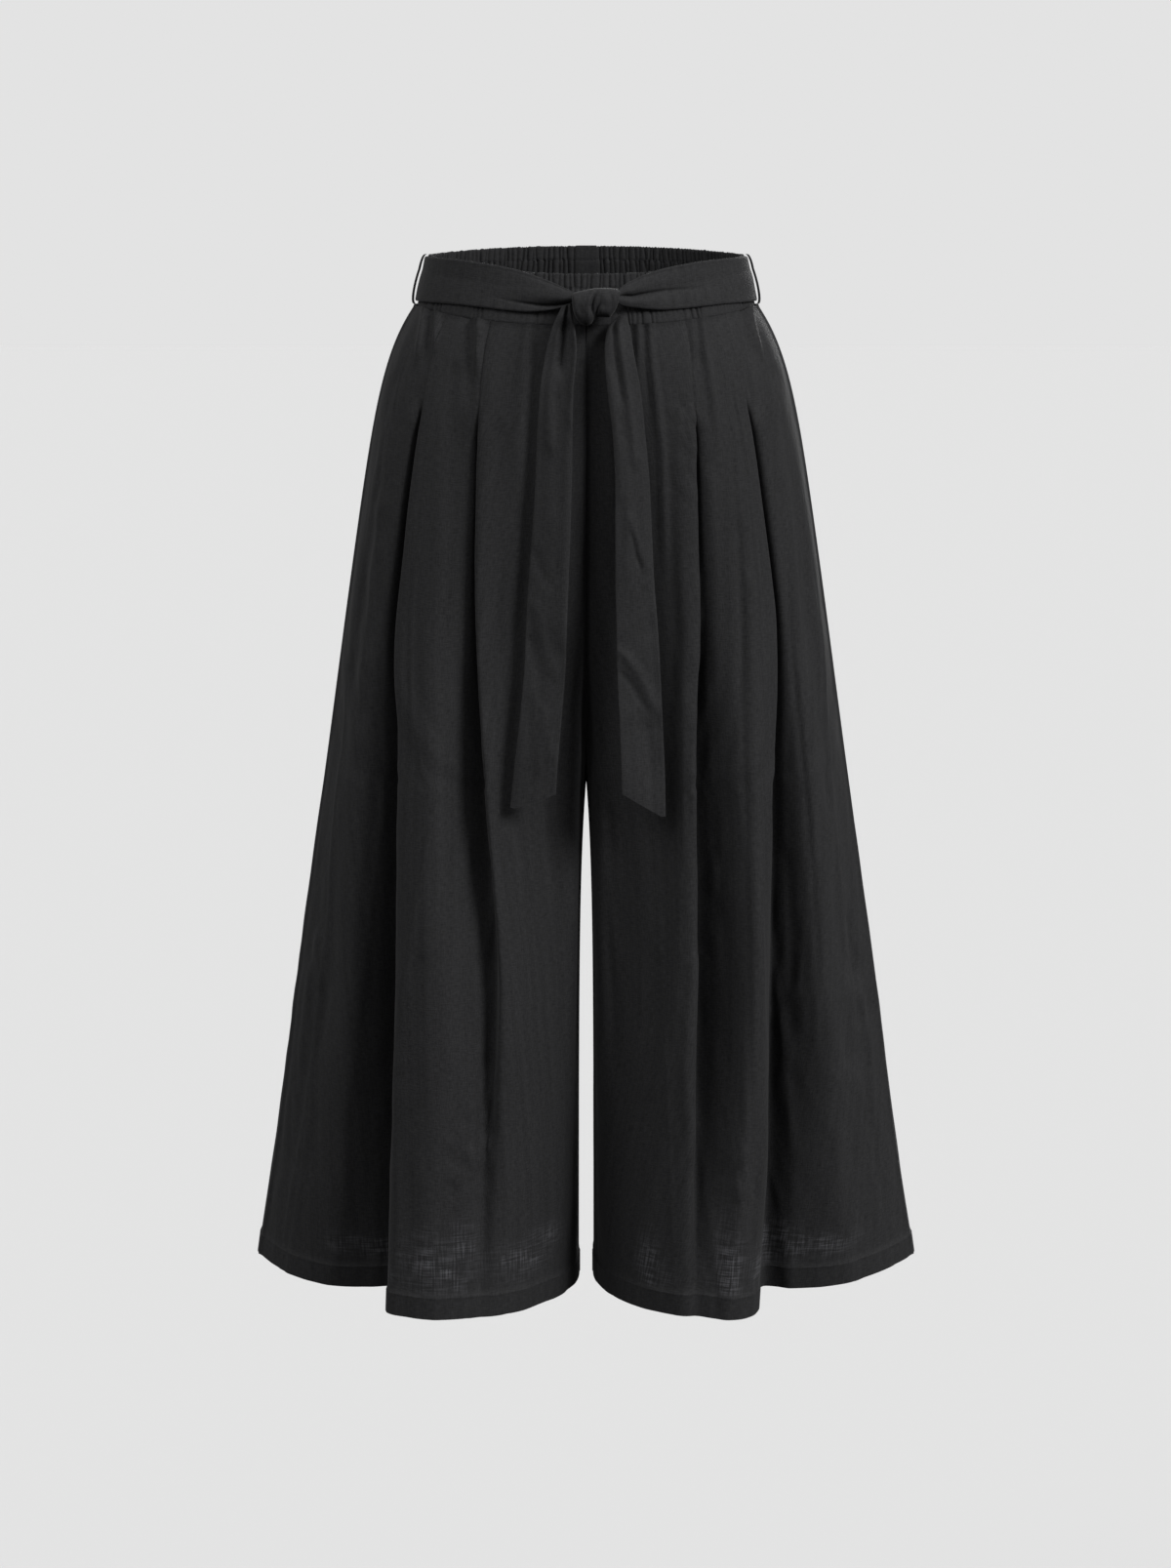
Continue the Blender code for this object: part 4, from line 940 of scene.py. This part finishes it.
# Rows of a free end: height, left edge, right edge, forward, bow of its middle.
tails = {
    "cloth": 1.4,
    "columns": 30,
    "rows": 190,
    "left": (
        (-19, -19.5, -12.3, 120, 1.0), (-27, -23.5, -11.4, 121, 2.5), (-38, -28.0, -9.0, 123, -2.5),
        (-55, -32.5, -7.6, 124, -3.0), (-87, -37.6, -10.2, 127, -1.0), (-130, -40.5, -11.2, 129, 1.5),
        (-190, -43.6, -12.6, 132, 2.0), (-247, -47.6, -14.4, 134, 1.5), (-310, -51.0, -17.0, 137, -1.5),
        (-370, -56.6, -21.4, 140, 1.5), (-420, -63.0, -24.8, 142, 1.0),
    ),
    "right": (
        (-27.5, 26.3, 33.0, 117, 1.0), (-38, 17.3, 36.0, 120, 2.5), (-55, 15.0, 38.6, 124, 2.5),
        (-87, 17.4, 44.6, 127, 1.5), (-130, 22.2, 49.2, 129, 1.5), (-190, 24.0, 53.6, 132, 1.5),
        (-247, 24.4, 56.6, 134, 2.0), (-310, 25.6, 61.0, 137, 1.0), (-370, 28.2, 64.0, 140, -1.5),
        (-420, 29.6, 66.2, 142, 1.0),
    ),
    "edgeWide": 1.6,             # the edges thin over this width
    "cornerLift": 2.2,           # the low corner of each cut end is blunt by this much
    "slants": {"left": (-15, 0), "right": (0, -22)},   # drop of the corners of the cut end
    "turn": {"left": 9.0, "right": -4.0},              # how far the right edge stands before the left
    # Creases: points of (share across, height), half width as a share, rise.
    "folds": {
        "left": [
            ([(0.62, -20), (0.5, -38), (0.5, -52), (0.56, -74)], 0.11, -4.2),
            ([(0.4, -24), (0.3, -40), (0.3, -70), (0.34, -110), (0.4, -140)], 0.16, 2.0),
            ([(0.9, -26), (0.93, -60), (0.93, -120)], 0.08, 1.6),
            ([(0.5, -90), (0.58, -130), (0.6, -190)], 0.14, -0.6),
            ([(0.84, -100), (0.88, -170), (0.9, -300)], 0.1, 0.8),
            ([(0.08, -60), (0.1, -130), (0.2, -210)], 0.14, -0.4),
            ([(0.1, -218), (0.3, -236), (0.5, -250)], 0.13, -0.9),
            ([(0.2, -262), (0.4, -290), (0.72, -322)], 0.15, 1.2),
            ([(0.1, -290), (0.3, -316), (0.6, -350)], 0.14, -1.1),
            ([(0.5, -330), (0.62, -360), (0.86, -392)], 0.13, 1.1),
            ([(0.12, -340), (0.3, -375), (0.5, -410)], 0.12, -0.8),
        ],
        "right": [
            ([(0.18, -32), (0.3, -45), (0.36, -66), (0.4, -100)], 0.1, -1.9),
            ([(0.5, -34), (0.6, -60), (0.62, -100), (0.6, -150)], 0.13, 1.8),
            ([(0.12, -70), (0.14, -120), (0.16, -180)], 0.09, 1.0),
            ([(0.3, -130), (0.34, -190), (0.3, -240)], 0.12, 0.9),
            ([(0.46, -205), (0.56, -222), (0.66, -236)], 0.06, -1.5),
            ([(0.42, -190), (0.6, -214), (0.76, -232)], 0.12, 1.1),
            ([(0.06, -300), (0.34, -312), (0.66, -332), (0.86, -352)], 0.15, 1.7),
            ([(0.06, -318), (0.34, -332), (0.64, -352)], 0.12, -1.1),
            ([(0.78, -250), (0.82, -300), (0.86, -370)], 0.12, -0.8),
            ([(0.3, -350), (0.34, -390), (0.3, -425)], 0.12, 0.8),
            ([(0.62, -360), (0.66, -400), (0.72, -428)], 0.12, -0.8),
        ],
    },
}


def makeTail(side):
    table = np.array(tails[side], float)
    heights = np.linspace(table[0, 0], table[-1, 0], tails["rows"])
    left, right, fwd, bow = smoothThrough(table[:, 0], table[:, 1:].T, heights)
    share = (1 - np.cos(np.pi * (np.arange(tails["columns"]) + 0.5) / tails["columns"])) / 2
    share = (share - share[0]) / (share[-1] - share[0])
    share = share * 0.5 + np.linspace(0, 1, tails["columns"]) * 0.5
    across = share[None, :] + np.zeros((tails["rows"], 1))
    width = (right - left)[:, None]
    x = left[:, None] + width * share
    tall = heights[:, None] + np.zeros_like(x)
    rise = np.zeros_like(x)
    for path, wide, deep in tails["folds"][side]:
        place, zs = np.array(path).T
        middle = smoothThrough(zs, place, np.clip(heights, zs[-1], zs[0]))[0][:, None]
        fade = ease((zs[0] + 6 - tall) / 12) * ease((tall - zs[-1] + 6) / 16)
        rise += deep * fade * np.exp(-(((across - middle) / wide) ** 2))
    seed = 51 if side == "left" else 57
    lowered = ease((heights[0] - 190 - heights) / 60)[:, None]
    rise += 0.45 * softNoise(across * 2.2 + tall / 90, tall / 34, seed)
    rise += (0.1 + 0.5 * lowered) * softNoise(across * 2.6 - tall / 26, tall / 22 + across, seed + 1)
    rise += bow[:, None] * (1 - (2 * across - 1) ** 2)
    turned = ease((heights[0] - heights) / 60)[:, None]
    rise += tails["turn"][side] * (across - 0.5) * turned
    slant = tails["slants"][side]
    down = (heights[0] - tall) / (heights[0] - heights[-1])
    tall = tall + (slant[0] + (slant[1] - slant[0]) * across) * down**12
    wander = 0.5 * softNoise(tall / 40, 0.3, seed + 2) * ease(down * 5)
    x = x + wander
    low = 0 if side == "left" else 1
    corner = np.exp(-((np.abs(across - low) / 0.07) ** 2)) * np.exp(-((1 - down) / 0.006))
    tall = tall + tails["cornerLift"] * corner
    edge = np.clip(1 - np.minimum(across, 1 - across) * width / tails["edgeWide"], 0, 1)
    thin = 0.5 * (1 - np.sqrt(1 - 0.96 * edge**2))
    front = -(fwd[:, None] + rise)
    outer = np.stack([x, front + thin, tall], -1)
    inner = np.stack([x, front + tails["cloth"] - thin, tall], -1)
    uv = np.stack([(across - 0.5) * 40, tall], -1)
    return makeShell(f"sashTail{side.title()}", outer, inner, sashLinen, uv, None, False)


tailLeft, tailRight = makeTail("left"), makeTail("right")
print("free ends made:", len(tailLeft.data.polygons))

knot = {
    "columns": 70,
    "around": 120,
    "middleFwd": 122.5,
    "deep": 11.0,
    "power": 2.6,                    # 2 would make its section an ellipse
    # along x: top, bottom and how thick it is there, as a share
    "shape": (
        (-11.7, -11.5, -14.5, 0.3), (-11.1, -9.6, -21.0, 0.62), (-9.0, -8.5, -28.0, 0.84),
        (-5.0, -7.4, -33.0, 0.95), (0.0, -6.3, -35.4, 1.0), (4.0, -5.5, -33.8, 0.98),
        (7.5, -5.0, -29.6, 0.94), (12.0, -4.8, -28.6, 0.97), (18.0, -4.9, -28.8, 0.95),
        (22.5, -5.2, -25.0, 0.86), (25.6, -5.6, -19.0, 0.66), (27.3, -7.6, -13.0, 0.3),
    ),
    "folds": [
        ([(8.4, -7.5), (6.0, -13.5), (4.6, -20), (6.4, -28.5)], 1.15, -2.9),
        ([(4.6, -9), (2.2, -16), (1.2, -23), (2.4, -31)], 1.9, 1.5),
        ([(11.6, -17.6), (9.2, -21.5), (8.2, -26.5)], 0.95, -2.6),
        ([(14.5, -14), (12.4, -20), (11.6, -26)], 1.8, 1.1),
        ([(-4, -9), (-5.4, -18), (-4, -29)], 2.4, -0.8),
        ([(19, -7), (20.5, -14), (19, -24)], 2.2, -0.7),
        ([(14, -6), (15.5, -12), (17, -18)], 2.0, 0.7),
    ],
}


def makeKnot():
    shape = np.array(knot["shape"])
    turn = np.linspace(0, 1, knot["columns"])
    x = shape[0, 0] + (shape[-1, 0] - shape[0, 0]) * (1 - np.cos(np.pi * turn)) / 2
    top, bottom, thick = smoothThrough(-shape[:, 0], shape[:, 1:].T, -x)
    middle, half = (top + bottom) / 2, (top - bottom) / 2
    angle = 2 * np.pi * np.arange(knot["around"]) / knot["around"]
    power = 2 / knot["power"]
    forward = np.sign(np.cos(angle)) * np.abs(np.cos(angle)) ** power
    up = np.sign(np.sin(angle)) * np.abs(np.sin(angle)) ** power
    z = middle + half * up[:, None]
    y = -(knot["middleFwd"] + knot["deep"] * thick * forward[:, None])
    wide = x + np.zeros_like(z)
    rise = creaseRise(wide, z, knot["folds"]) * ease(forward[:, None] * 2.5)
    rise += 0.3 * softNoise(wide / 5, z / 6, 61) * ease(forward[:, None] * 2)
    y = y - rise
    points = np.stack([wide, y, z], -1).transpose(1, 0, 2).reshape(-1, 3)
    n, m = knot["columns"], knot["around"]
    faces = [
        (i * m + k, i * m + (k + 1) % m, (i + 1) * m + (k + 1) % m, (i + 1) * m + k)
        for i in range(n - 1)
        for k in range(m)
    ]
    ends = [points[:m].mean(axis=0) - (0.2, 0, 0), points[-m:].mean(axis=0) + (0.2, 0, 0)]
    points = np.concatenate([points, ends])
    for k in range(m):
        after = (k + 1) % m
        faces.append((n * m, after, k, k))
        faces.append((n * m + 1, (n - 1) * m + k, (n - 1) * m + after, (n - 1) * m + after))
    faces = [f if f[2] != f[3] else f[:3] for f in faces]
    uv = np.stack([points[:, 2] * 1.2, points[:, 0]], -1)
    return makePiece("sashKnot", points, faces, sashLinen, uv)


sashKnot = makeKnot()
for piece, node in (
    (sashBand, "belt_band"),
    (tailLeft, "belt_tail_left"),
    (tailRight, "belt_tail_right"),
    (sashKnot, "belt_knot"),
):
    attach(piece, "root")
    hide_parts(node)
print("knot made:", len(sashKnot.data.polygons))


# Belt carriers: a narrow tube of linen over the sash at each side seam

carriers = {"width": 8, "cloth": 1.9, "stand": 3.8, "square": 0.3, "rows": 60, "columns": 10}


def makeCarrier(side):
    top, bottom = waistband["heights"][0], waistband["heights"][2] + 1
    share = (1 - np.cos(np.pi * np.linspace(0, 1, carriers["rows"]))) / 2
    height = (top + (bottom - top) * share)[:, None]
    reach = sash["clear"] + 1.5 + carriers["stand"]
    arch = (np.sin(np.pi * share) ** carriers["square"] * reach)[:, None]
    stand = bandBreadth(height) + body["seamGap"] + arch
    y = np.linspace(-carriers["width"] / 2, carriers["width"] / 2, carriers["columns"])[None, :]
    edge = (np.abs(y) / (carriers["width"] / 2)) ** 6
    outerOut = side * (stand + carriers["cloth"] - 0.4 * edge)
    outer = np.stack(np.broadcast_arrays(outerOut, y, height), -1)
    inner = np.stack(np.broadcast_arrays(side * (stand + 0.2 * edge), y, height), -1)
    uv = np.stack(np.broadcast_arrays(y, height), -1)
    name = "carrierLeft" if side < 0 else "carrierRight"
    return makeShell(name, outer, inner, bandLinen, uv, None, side < 0)


carrierLeft, carrierRight = makeCarrier(-1), makeCarrier(1)
for piece, node in ((carrierLeft, "belt_loop_left"), (carrierRight, "belt_loop_right")):
    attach(piece, "root")
    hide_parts(node)


# Stitching: the hems, the lines that hold the pleats and the row below the waistband's top edge

stitches = {
    "colour": "#161617",
    "sheen": "#27272b",
    "pitch": 3.3,                # from one stitch to the next
    "length": 2.7,
    "thick": 0.42,
    "pleatInset": 2,             # columns from the fold to its stitched line
    "uneven": (0.86, 1.08),
    "seed": 7,
}


def makeThread():  # spun polyester thread: dull, with a faint glint on its twist
    material, tree, shader = startMaterial("spun polyester sewing thread", 0.6, 0.3)
    place = addNode(tree, "ShaderNodeTexCoord").outputs["Object"]
    twist = addNode(
        tree, "ShaderNodeTexNoise", None, {"Vector": place, "Scale": 1 / (0.8 * mm), "Detail": 1.0}
    )
    ends = toLinear(stitches["colour"]), toLinear(stitches["sheen"])
    tree.links.new(mixColours(tree, twist.outputs["Fac"], *ends), shader.inputs["Base Color"])
    return material


def stitchTree(material):  # stitches laid along each line, their flat side on the cloth
    tree = bpy.data.node_groups.new("stitches along a seam", "GeometryNodeTree")
    sockets = {"Lines": "NodeSocketGeometry"}
    sockets.update({name: "NodeSocketFloat" for name in ("Pitch", "Length", "Thickness")})
    sockets["Seed"] = "NodeSocketInt"
    for name, kind in sockets.items():
        tree.interface.new_socket(name, in_out="INPUT", socket_type=kind)
    tree.interface.new_socket("Stitches", in_out="OUTPUT", socket_type="NodeSocketGeometry")
    given = addNode(tree, "NodeGroupInput").outputs
    path = addNode(tree, "GeometryNodeMeshToCurve", None, {"Mesh": given["Lines"]})
    places = addNode(
        tree,
        "GeometryNodeResampleCurve",
        {"mode": "LENGTH"},
        {"Curve": path.outputs["Curve"], "Length": given["Pitch"]},
    )
    tangent = addNode(tree, "GeometryNodeInputTangent").outputs["Tangent"]
    away = addNode(
        tree, "GeometryNodeInputNamedAttribute", {"data_type": "FLOAT_VECTOR"}, {"Name": "away"}
    ).outputs["Attribute"]
    turn = addNode(
        tree,
        "FunctionNodeAxesToRotation",
        {"primary_axis": "Z", "secondary_axis": "Y"},
        {"Primary Axis": tangent, "Secondary Axis": away},
    )
    uneven = addNode(
        tree,
        "FunctionNodeRandomValue",
        {"data_type": "FLOAT"},
        {2: stitches["uneven"][0], 3: stitches["uneven"][1], "Seed": given["Seed"]},
    )
    long = calculate(tree, "MULTIPLY", calculate(tree, "MULTIPLY", given["Length"], 0.5), uneven.outputs[1])
    thick = calculate(tree, "MULTIPLY", given["Thickness"], 0.5)
    size = addNode(tree, "ShaderNodeCombineXYZ", None, {"X": thick, "Y": thick, "Z": long})
    bead = addNode(tree, "GeometryNodeMeshUVSphere", None, {"Segments": 6, "Rings": 4, "Radius": 1.0})
    soft = addNode(tree, "GeometryNodeSetShadeSmooth", None, {"Geometry": bead.outputs["Mesh"]})
    laid = addNode(
        tree,
        "GeometryNodeInstanceOnPoints",
        None,
        {
            "Points": places.outputs["Curve"],
            "Instance": soft.outputs["Geometry"],
            "Rotation": turn.outputs["Rotation"],
            "Scale": size.outputs["Vector"],
        },
    )
    real = addNode(tree, "GeometryNodeRealizeInstances", None, {"Geometry": laid.outputs["Instances"]})
    painted = addNode(
        tree, "GeometryNodeSetMaterial", None, {"Geometry": real.outputs["Geometry"], "Material": material}
    )
    addNode(tree, "NodeGroupOutput", None, {"Stitches": painted.outputs["Geometry"]})
    return tree


def makeStitching(lines):  # one plain mesh; each line is its points and the way out of the cloth
    points, away, edges = [], [], []
    for path, out in lines:
        start = sum(len(p) for p in points)
        points.append(path + out * stitches["thick"] * 0.25)
        away.append(out)
        edges += [(start + i, start + i + 1) for i in range(len(path) - 1)]
    mesh = bpy.data.meshes.new("stitching")
    mesh.from_pydata(np.concatenate(points) * mm, edges, [])
    outward = mesh.attributes.new("away", "FLOAT_VECTOR", "POINT")
    outward.data.foreach_set("vector", np.concatenate(away).ravel())
    piece = addObject("stitching", mesh)
    tree = stitchTree(makeThread())
    modifier = piece.modifiers.new("stitches", "NODES")
    modifier.node_group = tree
    sockets = {s.name: s.identifier for s in tree.interface.items_tree if s.in_out == "INPUT"}
    modifier[sockets["Pitch"]] = stitches["pitch"] * mm
    modifier[sockets["Length"]] = stitches["length"] * mm
    modifier[sockets["Thickness"]] = stitches["thick"] * mm
    modifier[sockets["Seed"]] = stitches["seed"]
    bpy.context.view_layer.update()
    depsgraph = bpy.context.evaluated_depsgraph_get()
    plain = bpy.data.meshes.new_from_object(piece.evaluated_get(depsgraph))
    piece.modifiers.clear()
    piece.data = plain
    return piece


seamLines = frontSeams + backSeams
for node, (_, outer, normals, heights) in panels.items():
    row = np.argmin(np.abs(heights - body["hem"] - body["hemStitch"]))
    seamLines.append((outer[row, 2:-2], normals[row, 2:-2]))
for name, lines in (("left", frontLeft), ("right", frontRight)):
    _, outer, normals, heights = panels[f"front_{name}"]
    held = heights >= body["release"]
    counts = frontColumns(lines)
    for fold in ("inner pleat fold", "outer pleat fold"):
        column = sum(counts[: len(seamColumns) + list(lines).index(fold)]) - stitches["pleatInset"]
        seamLines.append((outer[held, column], normals[held, column]))
stitching = makeStitching(seamLines)
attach(stitching, "root")
print("stitches made:", len(stitching.data.polygons))


# Studio: a pale floor that meets a pale sky, soft key from the upper right, fills and a rear light

studio = {
    "paper": "#e3e3e3",
    "floorTone": "#b0b0b0",
    "flagTone": "#303030",       # the floor as every ray but the camera's meets it, like black flags
    "floorDrop": 1.9,            # far enough down that the soft shadow falls out of the picture
    "ambient": 0.62,             # how much of the paper's light reaches the cloth from all round
    # Soft boxes: the way to each, its strength and how wide it looks from the cloth, in degrees.
    "boxes": {
        "key": ((0.68, -0.5, 0.55), 3.6, 20),
        "top": ((-0.5, -0.5, 0.8), 1.5, 40),
        "rim": ((0.9, -0.3, 0.25), 0.5, 24),
        "left": ((-0.9, -0.3, 0.3), 0.4, 24),
        "rear": ((0.25, 0.9, 0.38), 2.0, 24),
    },
    "cameraDistance": 3.0,
    "cameraRise": 9,
    "aim": (-0.0006, 0, -0.4344),
    "seenHeight": 1.366,         # metres of height in the picture at the garment
}

low, wide = -studio["floorDrop"], 60
corners = [(x, y, low) for x, y in ((-wide, -wide), (wide, -wide), (wide, wide), (-wide, wide))]
floorMesh = bpy.data.meshes.new("paperFloor")
floorMesh.from_pydata(corners, [], [(0, 1, 2, 3)])
floor = addObject("paperFloor", floorMesh)
paper, paperTree, paperShader = startMaterial("matt studio paper", 1.0, 0.0)
paperShader.inputs["Base Color"].default_value = toLinear(studio["floorTone"])
flagged = addNode(paperTree, "ShaderNodeBsdfDiffuse", None, {"Color": toLinear(studio["flagTone"])})
looked = addNode(paperTree, "ShaderNodeLightPath").outputs["Is Camera Ray"]
either = addNode(
    paperTree, "ShaderNodeMixShader", None, {0: looked, 1: flagged.outputs[0], 2: paperShader.outputs[0]}
)
paperTree.links.new(either.outputs[0], paperTree.nodes["Material Output"].inputs["Surface"])
floorMesh.materials.append(paper)

world = bpy.data.worlds.new("studio")
world.use_nodes = True
sky = world.node_tree
backdrop = sky.nodes["Background"]
backdrop.inputs["Color"].default_value = toLinear(studio["paper"])
dimmed = addNode(
    sky, "ShaderNodeBackground", None, {"Color": toLinear(studio["paper"]), "Strength": studio["ambient"]}
)
seen = addNode(sky, "ShaderNodeLightPath").outputs["Is Camera Ray"]
mixed = addNode(sky, "ShaderNodeMixShader", None, {0: seen, 1: dimmed.outputs[0], 2: backdrop.outputs[0]})
sky.links.new(mixed.outputs[0], sky.nodes["World Output"].inputs["Surface"])
bpy.context.scene.world = world

for name, (way, strength, breadth) in studio["boxes"].items():
    light = bpy.data.lights.new(name, "SUN")
    light.energy = strength
    light.angle = math.radians(breadth)
    addObject(name, light).rotation_euler = mathutils.Vector(way).to_track_quat("Z", "Y").to_euler()

rise = math.radians(studio["cameraRise"])
camera = bpy.data.cameras.new("camera")
camera.sensor_width = 36
camera.lens = 36 * studio["cameraDistance"] / studio["seenHeight"]
view = addObject("camera", camera)
x, y, z = studio["aim"]
view.location = (
    x,
    y - math.cos(rise) * studio["cameraDistance"],
    z + math.sin(rise) * studio["cameraDistance"],
)
view.rotation_euler = (math.radians(90) - rise, 0, 0)
bpy.context.scene.camera = view
bpy.context.scene.view_settings.view_transform = "Standard"
print("studio made")
